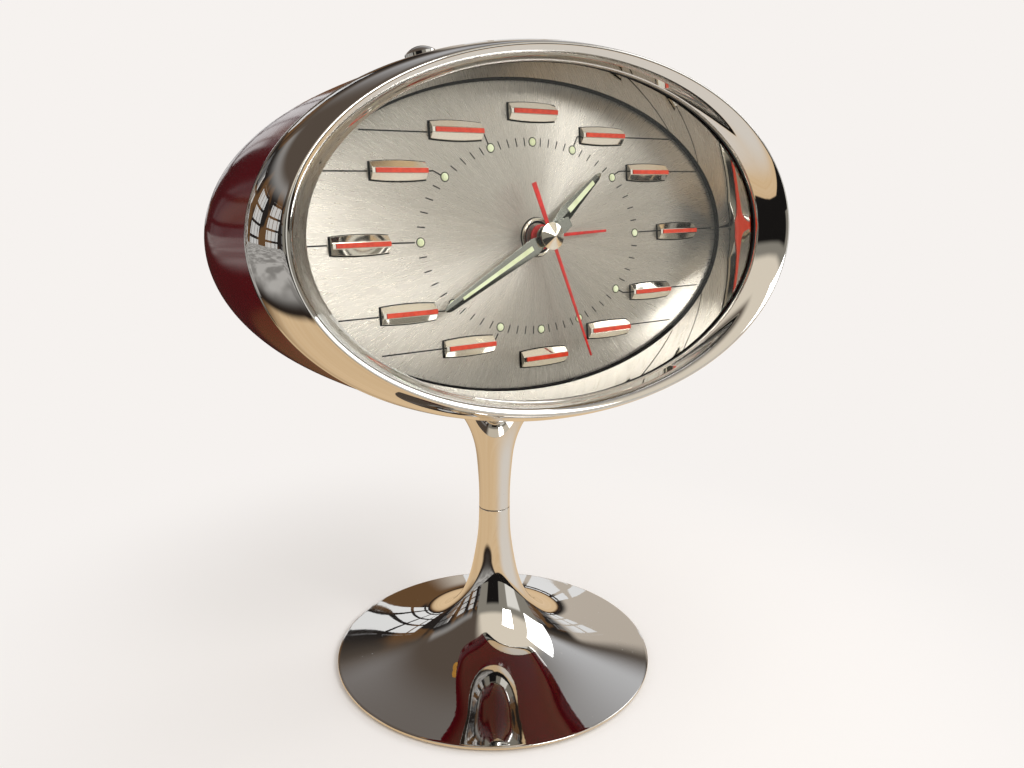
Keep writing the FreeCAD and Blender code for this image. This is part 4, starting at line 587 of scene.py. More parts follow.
def oval_lathe(sections: Grid, segments: int = 256) -> Grid:
    """Ellipses joined into a surface: x = a cos t, y = b sin t + c, z from the section.

    Args:
        sections: rows of a, b, z and c, the shift of the ellipse's middle.
        segments: steps round the ellipse.

    Returns:
        Grid of points, section by angle.
    """
    turn = np.linspace(0.0, FULL_TURN, segments, endpoint=False)
    a, b, z, c = (sections[:, k:k + 1] for k in range(4))
    return np.stack([a * np.cos(turn), b * np.sin(turn) + c, z + 0 * turn], axis=-1)


LONGEST_CUT = 0.49


def rounded(points: Sequence[Sequence[float]], cuts: Sequence[float], steps: int = 6) -> Grid:
    """Path whose corners are replaced by parabolas that start a cut before each corner.

    Args:
        points: corners of the path in any number of dimensions.
        cuts: distance from each corner to the ends of its parabola, 0 for a sharp corner. It
            is held below half of each side.
        steps: points along each parabola.

    Returns:
        The points of the rounded path.
    """
    corners = np.asarray(points, float)
    rows = [corners[:1]]
    share = np.linspace(0.0, 1.0, steps + 1)[:, None]
    for before, corner, after, cut in zip(corners, corners[1:], corners[2:], cuts[1:]):
        if cut <= 0:
            rows.append(corner[None])
            continue
        back, ahead = before - corner, after - corner
        start, end = (corner + way * min(cut / np.linalg.norm(way), LONGEST_CUT)
                      for way in (back, ahead))
        rows.append((1 - share) ** 2 * start + 2 * share * (1 - share) * corner + share ** 2 * end)
    rows.append(corners[-1:])
    return np.concatenate(rows)


def spline(points: Sequence[Sequence[float]], count: int) -> Grid:
    """Natural cubic spline through points, by distance along their chords.

    Args:
        points: points that the curve passes.
        count: points along the curve.

    Returns:
        Evenly spaced points of the curve.
    """
    known = np.asarray(points, float)
    gap = np.linalg.norm(np.diff(known, axis=0), axis=1)
    along = np.concatenate([[0.0], np.cumsum(gap)])
    size = len(known)
    system = np.eye(size)
    right = np.zeros_like(known)
    inner = np.arange(1, size - 1)
    system[inner, inner - 1] = gap[:-1]
    system[inner, inner] = 2 * (gap[:-1] + gap[1:])
    system[inner, inner + 1] = gap[1:]
    slope = np.diff(known, axis=0) / gap[:, None]
    right[inner] = 6 * (slope[1:] - slope[:-1])
    bend = np.linalg.solve(system, right)
    at = np.linspace(0.0, along[-1], count)
    k = np.clip(np.searchsorted(along, at, side="right") - 1, 0, size - 2)
    h = gap[k][:, None]
    low, high = (at - along[k])[:, None], (along[k + 1] - at)[:, None]
    return (bend[k] * high ** 3 + bend[k + 1] * low ** 3) / (6 * h) + (
        known[k] / h - bend[k] * h / 6) * high + (known[k + 1] / h - bend[k + 1] * h / 6) * low


@dataclass
class Shape:
    """Points and faces of a piece in millimetres, gathered from grids and fans."""

    points: list[np.ndarray] = field(default_factory=list)
    faces: list[np.ndarray] = field(default_factory=list)
    total: int = 0

    def add(self, points: np.ndarray, faces: np.ndarray) -> "Shape":
        """Adds points and the faces that index them.

        Args:
            points: points in any grid, with three numbers each.
            faces: rows of indices into them.

        Returns:
            This shape.
        """
        self.points.append(points.reshape(-1, 3))
        self.faces.append(faces + self.total)
        self.total += len(self.points[-1])
        return self

    def grid(self, grid: Grid, loop: bool = True, caps: str = "") -> "Shape":
        """Adds a grid of quads.

        Args:
            grid: rows by columns of points.
            loop: whether the last column joins the first.
            caps: "start" and "end" in one text close those rows with a fan to their middle.

        Returns:
            This shape.
        """
        rows, columns = grid.shape[:2]
        r = np.arange(rows - 1)[:, None]
        c = np.arange(columns if loop else columns - 1)[None]
        n = (c + 1) % columns
        quads = np.stack([r * columns + c, r * columns + n, (r + 1) * columns + n,
                          (r + 1) * columns + c], axis=-1).reshape(-1, 4)
        self.add(grid, quads)
        for name, row, flip in (("start", grid[0], True), ("end", grid[-1], False)):
            if name in caps:
                self.fan(row, flip)
        return self

    def fan(self, ring: np.ndarray, flip: bool = False) -> "Shape":
        """Closes a ring of points with triangles to its middle.

        Args:
            ring: the ring's points in order.
            flip: whether the triangles run the other way round.

        Returns:
            This shape.
        """
        count = len(ring)
        index = np.arange(count)
        edge = np.stack([index, (index + 1) % count, np.full(count, count)], axis=-1)
        if flip:
            edge = edge[:, ::-1]
        return self.add(np.vstack([ring, ring.mean(axis=0)]), edge)

    def solid(self, outline: np.ndarray, low: float, high: float) -> "Shape":
        """Adds an upright prism over an outline of x and y, with fans for its ends.

        Args:
            outline: corners of the prism, rows of x and y.
            low: height of its underside.
            high: height of its top.

        Returns:
            This shape.
        """
        below = np.column_stack([outline, np.full(len(outline), low)])
        above = np.column_stack([outline, np.full(len(outline), high)])
        return self.grid(np.stack([below, above]), caps="start end")

    def take(self, *others: "Shape") -> "Shape":
        """Adds the points and faces of other shapes.

        Args:
            others: the shapes, which stay as they are.

        Returns:
            This shape.
        """
        for other in others:
            self.points += other.points
            self.faces += [faces + self.total for faces in other.faces]
            self.total += other.total
        return self

    def repeated(self, offsets: np.ndarray) -> "Shape":
        """A new shape with this one's copies at every offset."""
        points = np.concatenate(self.points)
        return Shape().take(*(Shape([points + step], self.faces, self.total) for step in offsets))


@dataclass(frozen=True)
class HeadFrame:
    """Place of the tilted head: x right, y up the dial, z out of the dial, in millimetres."""

    y: float = -19.3
    z: float = 130.1
    tilt: float = math.radians(6.5)

    def __call__(self, points: np.ndarray) -> np.ndarray:
        """World points of head points: a turn about X and a shift.

        Args:
            points: rows of x, y and z on the head.

        Returns:
            The same points on the table.
        """
        sine, cosine = math.sin(self.tilt), math.cos(self.tilt)
        x, y, z = points[:, 0], points[:, 1], points[:, 2]
        return np.column_stack([x, self.y + y * sine - z * cosine, self.z + y * cosine + z * sine])


HEAD = HeadFrame()
ROOT = "stand_and_case"
SEAM_GAP = 2e-7
EDGE_GAP = 1e-8


def link(made: bpy.types.Object) -> bpy.types.Object:
    """Puts an object into the scene and returns it."""
    bpy.context.scene.collection.objects.link(made)
    return made


def facing(side: np.ndarray, up: np.ndarray, back: np.ndarray) -> Matrix:
    """Turn of an object that looks along its own -Z."""
    return Matrix(np.column_stack([side, up, back]).tolist()).to_4x4()


class Workshop:
    """Turns shapes into finished pieces of the scene."""

    def __init__(self, palette: Palette) -> None:
        """Keeps the finishes."""
        self.palette = palette

    def piece(self, name: str, shape: Shape, finish: Finish, body: str, nodes: Sequence[str] = (),
              place: Callable[[np.ndarray], np.ndarray] | None = None,
              bevel: float = 0.0, sharp: float = 35.0) -> bpy.types.Object:
        """Makes one piece: mesh, finish, bevel, body and the nodes that it stands for.

        Args:
            name: name of the piece.
            shape: its points and faces in millimetres.
            finish: its finish.
            body: body that it rides on.
            nodes: CAD nodes that it replaces.
            place: function from shape points to world points in millimetres.
            bevel: width of the edge highlights in millimetres, 0 for none.
            sharp: angle in degrees above which an edge stays crisp.

        Returns:
            The finished object.
        """
        points = np.concatenate(shape.points)
        if place is not None:
            points = place(points)
        mesh = bpy.data.meshes.new(name)
        faces = [face.tolist() for block in shape.faces for face in block]
        mesh.from_pydata((points * MM).tolist(), [], faces)
        self._close(mesh)
        mesh.polygons.foreach_set("use_smooth", np.ones(len(mesh.polygons), bool))
        mesh.set_sharp_from_angle(angle=math.radians(sharp))
        made = link(bpy.data.objects.new(name, mesh))
        mesh.materials.append(finish.material())
        if bevel > 0:
            self._bevel(made, bevel, sharp)
        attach(made, body)
        if nodes:
            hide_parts(*nodes)
        LOG.info("%s: %d faces on %s", name, len(mesh.polygons), body)
        return made

    @staticmethod
    def _close(mesh: bpy.types.Mesh) -> None:
        """Merges the seams of a mesh and points its faces outwards.

        Args:
            mesh: the mesh, which is changed.
        """
        work = bmesh.new()
        work.from_mesh(mesh)
        bmesh.ops.remove_doubles(work, verts=work.verts, dist=SEAM_GAP)
        bmesh.ops.dissolve_degenerate(work, edges=work.edges, dist=EDGE_GAP)
        bmesh.ops.recalc_face_normals(work, faces=work.faces)
        work.to_mesh(mesh)
        work.free()

    @staticmethod
    def _bevel(made: bpy.types.Object, width: float, sharp: float) -> None:
        """Rounds the crisp edges of a piece with a live Bevel modifier.

        Args:
            made: the piece.
            width: width of the rounding in millimetres.
            sharp: angle in degrees above which an edge is crisp.
        """
        modifier = made.modifiers.new("edge", "BEVEL")
        modifier.width = width * MM
        modifier.segments = 2
        modifier.limit_method = "ANGLE"
        modifier.angle_limit = math.radians(sharp)
        modifier.harden_normals = True

    def carry(self, names: Iterable[str], finish: Finish) -> None:
        """Gives carried-over CAD nodes a finish, without touching their meshes.

        Args:
            names: the CAD nodes.
            finish: their finish.
        """
        for name in names:
            target = frame["nodes"][name]
            if not target.material_slots:
                target.data.materials.append(None)
            for slot in target.material_slots:
                slot.link = "OBJECT"
                slot.material = finish.material()


# Stand

@dataclass
class Stand:
    """Chrome trumpet stand in two spun halves that meet at a seam."""

    base_radius: float = 48.1
    rim_low: float = 0.8
    rim_high: float = 1.6
    seam: float = 49.0
    waist: float = 4.6
    groove: float = 0.18
    seam_gap: float = 0.05
    shoulder: float = 0.6
    sheet: float = 0.4
    lip_proud: float = 0.05
    lip_round: float = 0.25
    turn_in: float = 1.4
    under_dome: float = 0.05
    rim: tuple[float, float] = (17.5, 84.6)
    edge: tuple[tuple[float, float], ...] = (
        (0.0, 0.0), (0.12, 0.18), (0.16, 0.6), (0.16, 0.9), (-0.2, 1.0), (-2.5, 1.0))
    trumpet: tuple[tuple[float, float], ...] = (
        (4.9, 40.8), (5.8, 34.2), (7.1, 27.6), (8.6, 22.8), (11.0, 18.2), (14.0, 14.6),
        (18.0, 11.2), (24.0, 7.9), (32.0, 5.1), (40.0, 3.2))
    flare: tuple[tuple[float, float], ...] = (
        (4.6, 53.8), (5.05, 61.8), (5.8, 68.0), (7.0, 72.3), (8.7, 76.0), (11.6, 79.9),
        (14.8, 82.8))

    def build(self, shop: Workshop, dome: Callable[[np.ndarray, np.ndarray], np.ndarray]) -> None:
        """Makes both halves.

        Args:
            shop: the workshop.
            dome: heights of the dome's underside over points x and y of the table.
        """
        palette = shop.palette
        radius = self.base_radius
        outer = spline([(self.waist, self.seam), *self.trumpet, (radius, self.rim_high)], 96)
        lip = rounded([outer[-2], (radius + self.lip_proud, self.rim_high), (radius, self.rim_low),
                       (radius - self.turn_in, self.rim_low)],
                      [0, self.lip_round, self.lip_round, 0], 4)[1:]
        under = outer[::-6] - np.array([self.sheet, self.rim_high - self.rim_low])
        neck = self._neck(outer, -self.seam_gap)
        profile = np.concatenate([neck[:-1], outer[2:-1], lip, under[1:-1]])
        shop.piece("trumpet_base", Shape().grid(lathe(profile)), palette.base_chrome, ROOT,
                   ["base_trumpet"])
        curve = spline([(self.waist, self.seam), *self.flare, self.rim], 90)
        stem = lathe(np.concatenate([self._neck(curve, self.seam_gap)[:-1], curve[2:-1]]))
        rows = np.concatenate([stem, self._edge(dome)])
        shop.piece("upper_stem_shell", Shape().grid(rows, caps="end"), palette.chrome, ROOT,
                   ["upper_stem"])
        shop.carry(["base_felt"], palette.felt)
        shop.carry(["base_ballast"], palette.iron)
        shop.carry(["tie_rod", "clamp_washer", "tie_rod_nuts"], palette.steel)
        shop.carry(["saddle"], palette.black)

    def _neck(self, curve: Grid, gap: float) -> Grid:
        """Rounded end of a half at the seam.

        Args:
            curve: the half's outer points, from the seam on.
            gap: height of its end over the middle of the seam.

        Returns:
            Points from inside the seam to the curve's third point.
        """
        end = self.seam + gap
        return rounded([(self.waist - self.shoulder, end), (self.waist, end), tuple(curve[2])],
                       [0, self.groove, 0], 4)

    def _edge(self, dome: Callable[[np.ndarray, np.ndarray], np.ndarray]) -> Grid:
        """Rounded upright edge of the flare, cut to the dome: rows at shares of the way up to it.

        Args:
            dome: heights of the dome's underside over points x and y of the table.

        Returns:
            Grid of points, rows by angle.
        """
        radius, low = self.rim
        rows = np.array(self.edge)
        turn = np.linspace(0.0, FULL_TURN, 192, endpoint=False)
        reach = radius + rows[:, :1]
        x, y = reach * np.cos(turn), reach * np.sin(turn)
        rise = rows[:, 1:2] * (dome(x, y) - self.under_dome - low)
        return np.stack([x, y, low + rise], axis=-1)


# Case of the head

@dataclass
class Case:
    """Dark red dome, chrome bezel, glass and mirror wall."""

    joint_a: float = 77.4
    joint_b: float = 45.0
    joint_z: float = 8.5
    depth: float = 69.8
    power: float = 4.64
    root: float = 2.83
    rise: float = 0.04
    cut: float = 56.5
    wall: float = 2.0
    sink: float = 0.4
    rounds: int = 25
    edge_round: float = 0.3
    rim_round: float = 0.6
    ridge: Triple = (73.9, 42.9, 21.0)
    seat: Triple = (67.3, 40.0, 15.2)
    swell: Triple = (0.68, 0.68, 0.22)
    band_foot: tuple[float, float] = (0.15, 1.0)
    crown: tuple[tuple[float, float], ...] = ((0.3, 0.24), (0.75, 0.1))
    funnel_bend: Triple = (0.45, 0.93, 0.44)
    proud: float = 0.3
    lip: float = 0.8
    gasket: float = 0.6
    pane: float = 2.0
    pane_margin: float = 1.8
    pane_round: float = 0.25
    dial: tuple[float, float] = (66.3, 38.7)
    wall_gap: float = 0.6
    wall_sheet: float = 0.5
    # painted shade: black band at the mirror wall's foot for the dark gap round the dial; rows of
    # height and how far it stands proud
    gap_shade_band: tuple[tuple[float, float], ...] = (
        (0.02, 0.02), (0.02, 0.2), (0.5, 0.2), (0.55, 0.12), (0.75, 0.12), (0.8, 0.2), (1.3, 0.2),
        (1.35, 0.02), (0.02, 0.02))

    def section(self, depth: np.ndarray, inset: float = 0.0) -> np.ndarray:
        """Ellipses of the dome: the joint's size times (1 - (d / depth) ^ power) ^ (1 / root).

        Args:
            depth: depths behind the joint.
            inset: distance inside the outer face.

        Returns:
            Rows of a, b, z and c.
        """
        scale = (1 - (np.maximum(depth, 0.0) / self.depth) ** self.power) ** (1 / self.root)
        return np.column_stack([self.joint_a * scale - inset, self.joint_b * scale - inset,
                                self.joint_z - depth, self.rise * depth])

    def underside(self, x: np.ndarray, y: np.ndarray) -> np.ndarray:
        """Heights of the dome's underside over points of the table.

        The dome's lower edge y = c - b s sqrt(1 - (x / (a s)) ^ 2) depends on the depth, which
        depends on the height in the tilted head, so the height is found by repetition.

        Args:
            x: positions to the right.
            y: positions to the back.

        Returns:
            Heights above the table.
        """
        sine, cosine = math.sin(HEAD.tilt), math.cos(HEAD.tilt)
        away = y - HEAD.y
        rise = np.full(x.shape, -self.joint_b)
        for _ in range(self.rounds):
            depth = np.clip(self.joint_z + away * cosine - rise * sine, 0.0, self.depth * 0.98)
            a, b, _, middle = self.section(depth.ravel()).T
            low = middle - b * np.sqrt(np.clip(1 - (x.ravel() / a) ** 2, 0.0, 1.0))
            rise = (low.reshape(x.shape) - away * sine) / cosine
        return HEAD.z + rise

    def build(self, shop: Workshop) -> None:
        """Makes the case pieces.

        Args:
            shop: the workshop.
        """
        self._dome(shop)
        self._bezel(shop)
        self._glass(shop)
        shop.carry(["crystal_gasket"], shop.palette.rubber)

    def _dome(self, shop: Workshop) -> None:
        """Dome with a rounded back rim and the wall that holds the cover.

        Args:
            shop: the workshop.
        """
        end, front = self.section(np.array([self.cut, 0.0]))
        outer = self.section(np.linspace(self.edge_round, self.cut - self.rim_round, 72))
        start = rounded([front - [1.2, 1.2, 0, 0], front, outer[1]], [0, self.edge_round, 0], 4)
        inner = end - [self.wall, self.wall, 0, 0]
        rim = rounded([outer[-1], end, inner, inner + [0, 0, self.sink + 1.5, 0]],
                      [0, self.rim_round, self.edge_round, 0], 5)
        shape = Shape().grid(oval_lathe(np.concatenate([start[:-1], outer[1:], rim[1:]])))
        shop.piece("dome_shell", shape, shop.palette.burgundy, ROOT, ["rear_shell"],
                   HEAD)

    def _bezel(self, shop: Workshop) -> None:
        """Bezel section carried round the oval: band, ridge, funnel and lip.

        Args:
            shop: the workshop.
        """
        a, b, z = self.joint_a + self.proud, self.joint_b + self.proud, self.joint_z
        ra, rb, rz = self.ridge
        sa, sb, sz = self.seat
        share = np.linspace(0.0, 1.0, 14)[:, None]
        sink, rise = self.band_foot
        foot = np.array([a - sink, b - sink, z + rise])
        top = np.array([ra + 0.02, rb + 0.02, rz - 0.05])
        band = foot + (top - foot) * share + 4 * share * (1 - share) * np.array(self.swell)
        over = [(ra - inset, rb - inset, rz + height) for inset, height in self.crown]
        crown = rounded([band[-1], *over], [0, 0.4, 0], 6)
        funnel_end = np.array([sa + 0.3, sb + 0.3, sz + 0.35])
        fall = funnel_end - crown[-1]
        bend = crown[-1] + fall * np.array(self.funnel_bend)
        down = rounded([crown[-1], bend, funnel_end], [0, 1.3, 0], 12)
        under = sz - self.lip
        lip = rounded([down[-1], (sa, sb, sz + 0.1), (sa, sb, under), (sa + 2.5, sb + 2.5, under)],
                      [0, 0.3, 0.1, 0], 4)
        back = np.array([(a - 2.6, b - 2.6, z - 1.0), (a - 1.2, b - 1.2, z)])
        land = rounded([back[-1], (a, b, z), (a, b, z + 0.85), foot], [0, 0.15, 0.12, 0], 3)
        rows = np.concatenate([land[:-1], band[:-1], crown[:-1], down[:-1], lip, back[:1],
                               land[:1]])
        sections = np.column_stack([rows, np.zeros(len(rows))])
        shop.piece("bezel_ring", Shape().grid(oval_lathe(sections, 320)), shop.palette.chrome, ROOT,
                   ["bezel"], HEAD, sharp=40.0)

    def _glass(self, shop: Workshop) -> None:
        """Flat glass with a ground edge, the mirror wall behind it and a black band at its foot, a
        painted shade for the dark gap at the dial's edge.

        Args:
            shop: the workshop.
        """
        sa, sb, sz = self.seat
        front = sz - self.lip - self.gasket
        back = front - self.pane
        ga, gb = sa + self.pane_margin, sb + self.pane_margin
        edge = rounded([(ga - 2, gb - 2, back, 0), (ga, gb, back, 0), (ga, gb, front, 0),
                        (ga - 2, gb - 2, front, 0)], [0, self.pane_round, self.pane_round, 0], 3)
        shop.piece("front_glass", Shape().grid(oval_lathe(edge), caps="start end"),
                   shop.palette.glass, ROOT, ["crystal"], HEAD)
        da, db = self.dial
        inner, outer = self.wall_gap, self.wall_gap + self.wall_sheet
        wall = np.array([(da, db, 0, 0), (sa + inner, sb + inner, back, 0),
                         (sa + outer, sb + outer, back, 0),
                         (da + self.wall_sheet, db + self.wall_sheet, 0, 0), (da, db, 0, 0)])
        shop.piece("mirror_wall", Shape().grid(oval_lathe(wall)), shop.palette.wall_chrome, ROOT,
                   ["reflector_ring"], HEAD)
        lean = (sa + inner - da) / back
        # painted shade: black band just in front of the wall's foot
        foot = np.array([(da + lean * z - proud, db + lean * z - proud, z, 0)
                         for z, proud in self.gap_shade_band])
        shop.piece("painted_gap_shade", Shape().grid(oval_lathe(foot)), shop.palette.ink, ROOT, (),
                   HEAD)


# Dial

@dataclass
class Dial:
    """Silvered dial with its print, markers, painted marker shadows, dots and collar."""

    a: float = 66.3
    b: float = 38.7
    hole: float = 2.3
    thickness: float = 0.5
    marker: Triple = (14.2, 4.6, 1.7)
    marker_edge: float = 0.7
    bulge: float = 0.35
    stripe: tuple[float, float] = (1.1, 0.25)
    places: tuple[tuple[float, float], ...] = ((0.0, 31.0), (22.5, 25.8), (38.5, 16.4), (49.4, 0.0))
    track: tuple[float, float] = (33.8, 23.8)
    dot: float = 0.95
    line: float = 0.34
    tick: tuple[float, float] = (1.05, 0.3)
    print_rise: float = 0.02
    dot_ring: tuple[float, float] = (0.24, 0.05)
    outline: float = 0.22
    coarse: int = 24
    fine: int = 96
    collar_line: Triple = (4.85, 5.12, 0.06)
    well: tuple[tuple[float, float], ...] = (
        (3.62, 0.33), (4.08, 0.52), (4.05, 0.55), (3.6, 0.37), (3.62, 0.33))
    collar: tuple[tuple[float, float], ...] = (
        (3.6, 0.0), (3.6, 0.3), (4.1, 0.5), (4.2, 0.8), (4.35, 0.8), (4.42, 0.55), (4.5, 0.55),
        (4.57, 0.8), (4.7, 0.8), (4.9, 0.6), (4.9, 0.0), (3.6, 0.0))
    collar_cuts: tuple[float, ...] = (
        0, 0.05, 0.05, 0.05, 0.03, 0.03, 0.03, 0.03, 0.06, 0.06, 0, 0)
    marker_lines: tuple[tuple[float, float, float, float], ...] = (
        (-47.4, 25.3, -30.0, 25.3), (-57.8, 16.3, -46.0, 16.3), (-63.0, 0.2, -57.0, 0.2),
        (-56.0, -16.6, -46.0, -16.6), (-46.0, -25.7, -30.0, -25.7), (30.0, 25.7, 48.0, 25.7),
        (46.0, 16.8, 58.5, 16.8), (57.0, 0.4, 64.5, 0.4), (46.0, -16.1, 58.0, -16.1),
        (30.0, -25.5, 46.5, -25.5), (-15.4, 25.9, -14.6, 25.7), (-14.6, 25.7, -13.2, 22.6),
        (-31.4, 16.4, -29.2, 16.5), (-29.2, 16.5, -26.6, 15.2), (-42.4, 0.1, -35.3, 0.0),
        (-31.2, -16.6, -28.5, -16.6), (-28.5, -16.6, -26.3, -15.2), (-15.3, -25.6, -14.7, -25.4),
        (-14.7, -25.4, -13.5, -23.6), (12.9, 22.4, 14.5, 25.4), (14.5, 25.4, 15.3, 25.6),
        (26.1, 15.4, 28.6, 16.7), (28.6, 16.7, 31.2, 16.8), (35.2, 0.2, 42.0, 0.3),
        (25.9, -14.9, 28.8, -16.3), (28.8, -16.3, 31.2, -16.4))

    def build(self, shop: Workshop) -> None:
        """Makes the dial and all that is on it.

        Args:
            shop: the workshop.
        """
        palette = shop.palette
        sunray = Sunray("sunray_dial", -math.pi / 2 + HEAD.tilt,
                        (0.0, HEAD.y * MM, HEAD.z * MM))
        hole, half, rim = (self.hole, self.hole), (self.a / 2, self.b / 2), (self.a + 1, self.b + 1)
        back = -self.thickness
        rings = np.array([(*hole, back, 0), (*hole, 0, 0), (*half, 0, 0), (*rim, 0, 0),
                          (*rim, back, 0), (*half, back, 0), (*hole, back, 0)])
        shop.piece("dial_face", Shape().grid(oval_lathe(rings)), sunray, ROOT, ["dial_plate"],
                   HEAD)
        shop.piece("marker_blocks", self._marker().repeated(self._hours()), palette.trim, ROOT,
                   ["hour_markers"], HEAD, bevel=0.12, sharp=20.0)
        reach, width, top = self.marker[0] / 2, self.stripe[0] / 2, self.marker[2]
        start, end = -reach + 0.9, reach + 0.02
        corners = np.array([(start, -width), (end, -width), (end, width), (start, width)])
        stripe = Shape().solid(corners, top, top + self.stripe[1])
        shop.piece("marker_strips", stripe.repeated(self._hours()), palette.orange, ROOT,
                   ["marker_stripes"], HEAD, bevel=0.06)
        bead = np.array([(self.dot, 0.0), (self.dot, 0.08), (self.dot * 0.8, 0.2),
                         (self.dot * 0.4, 0.27)])
        dots = Shape().grid(lathe(bead, self.coarse), caps="start end").repeated(self._beads())
        shop.piece("track_dots", dots, palette.lume, ROOT, ["lume_dots"], HEAD)
        self._ink_and_shadows(shop)
        self._collar(shop)

    def _hours(self) -> np.ndarray:
        """Middles of the twelve markers, mirrored from one quarter.

        Returns:
            Rows of x, y and 0.
        """
        signs = np.array([(1, 1), (1, -1), (-1, 1), (-1, -1)])
        every = (np.array(self.places)[:, None] * signs[None]).reshape(-1, 2)
        every = np.unique(np.round(every + 0.0, 3), axis=0)
        return np.column_stack([every, np.zeros(len(every))])

    def _track(self, turns: np.ndarray) -> np.ndarray:
        """Points on the oval track in directions t clockwise from twelve.

        Their distance from the middle is 1 / sqrt((sin t / a) ^ 2 + (cos t / b) ^ 2).

        Args:
            turns: the directions in radians.

        Returns:
            Rows of x, y and 0.
        """
        across, up = np.sin(turns), np.cos(turns)
        reach = 1 / np.hypot(across / self.track[0], up / self.track[1])
        return np.column_stack([reach * across, reach * up, 0 * turns])

    def _beads(self) -> np.ndarray:
        """Middles of the dots, one at each hour."""
        return self._track(np.arange(12) * math.pi / 6)

    def _marker(self) -> Shape:
        """Bowed block: its section narrows to a flat ridge, its sides bulge at mid length.

        The half width is w - bulge * (2 x / length) ^ 2 along the block.

        Returns:
            The block, with its middle at the origin.
        """
        length, width, top = self.marker
        x = np.linspace(-length / 2, length / 2, 17)
        half = width / 2 - self.bulge * (2 * x / length) ** 2
        flat = self.stripe[0] / 2 + 0.12
        y = np.stack([-half, -half, -flat + 0 * x, flat + 0 * x, half, half], axis=1)
        z = np.array([0, self.marker_edge, top, top, self.marker_edge, 0])[None] + 0 * y
        return Shape().grid(np.stack([x[:, None] + 0 * y, y, z], axis=-1), caps="start end")

    def _shadows(self) -> Shape:
        """Black pads that show as a dark outline round the foot of every marker: painted shadow,
        wider past the left end and the lower side.

        Returns:
            All twelve pads as one shape.
        """
        length, width, _ = self.marker
        # painted shadow: the pad reaches further past the left end and the lower side of each
        # marker
        x = np.linspace(-length / 2 - 0.3, length / 2 + self.outline, 17)
        half = width / 2 + self.outline - self.bulge * (2 * x / length) ** 2
        sides = np.column_stack([x, -half - 0.08]), np.column_stack([x, half])[::-1]
        return Shape().solid(np.concatenate(sides), 0.0, 0.05).repeated(self._hours())

    def _strokes(self, starts: np.ndarray, ends: np.ndarray, width: float, level: float) -> Shape:
        """Printed strokes: each is a thin raised bar from a start to an end.

        Args:
            starts: first ends, rows of x and y.
            ends: second ends.
            width: width of the strokes.
            level: height of their top.

        Returns:
            The bars as one shape.
        """
        along = ends - starts
        along = along / np.linalg.norm(along, axis=1, keepdims=True)
        side = np.column_stack([-along[:, 1], along[:, 0]]) * width / 2
        ring = np.stack([starts - side, ends - side, ends + side, starts + side], axis=1)
        low = np.concatenate([ring, np.zeros(ring.shape[:2] + (1,))], axis=2)
        high = low + np.array([0.0, 0.0, level])
        points = np.concatenate([low, high], axis=1)
        pattern = np.array([(0, 1, 2, 3), (4, 5, 6, 7), (0, 1, 5, 4), (1, 2, 6, 5), (2, 3, 7, 6),
                            (3, 0, 4, 7)])
        faces = (pattern[None] + 8 * np.arange(len(points))[:, None, None]).reshape(-1, 4)
        return Shape().add(points, faces)

    @staticmethod
    def _ring(inner: float, outer: float, top: float, segments: int) -> Shape:
        """Thin ring with upright sides and a flat top, open towards the dial."""
        profile = np.array([(inner, 0.0), (inner, top), (outer, top), (outer, 0.0)])
        return Shape().grid(lathe(profile, segments))

    def _ink_and_shadows(self, shop: Workshop) -> None:
        """Minute strokes, marker lines and the rings of the dots in black ink, and the painted
        shadows round the markers.

        Args:
            shop: the workshop.
        """
        minutes = np.array([k for k in range(60) if k % 5]) * math.pi / 30
        middle = self._track(minutes)[:, :2]
        reach, width = self.tick
        out = middle / np.linalg.norm(middle, axis=1, keepdims=True) * reach
        ticks = self._strokes(middle - out, middle + out, width, self.print_rise)
        marks = np.array(self.marker_lines)
        lines = self._strokes(marks[:, :2], marks[:, 2:], self.line, self.print_rise)
        wide, high = self.dot_ring
        rings = self._ring(self.dot, self.dot + wide, high, self.coarse).repeated(self._beads())
        foot = self._ring(*self.collar_line, self.fine)
        well = Shape().grid(lathe(np.array(self.well), self.fine))
        ticks.take(lines, rings, foot, well, self._shadows())
        shop.piece("dial_ink_and_shadows", ticks, shop.palette.ink, ROOT, (), HEAD)

    def _collar(self, shop: Workshop) -> None:
        """Raised ring with a bevelled inside and a groove, round the hands' hole.

        Args:
            shop: the workshop.
        """
        profile = rounded(self.collar, self.collar_cuts, 3)
        shop.piece("hand_collar", Shape().grid(lathe(profile, self.fine)), shop.palette.trim, ROOT,
                   ["dial_collar"], HEAD)


# Hands

class Turn(Enum):
    """Where the hands point, in degrees clockwise from twelve."""

    HOUR = 50.2
    MINUTE = 242.4
    SECOND = 160.3
    ALARM = 87.6


Outline = tuple[tuple[float, float], ...]


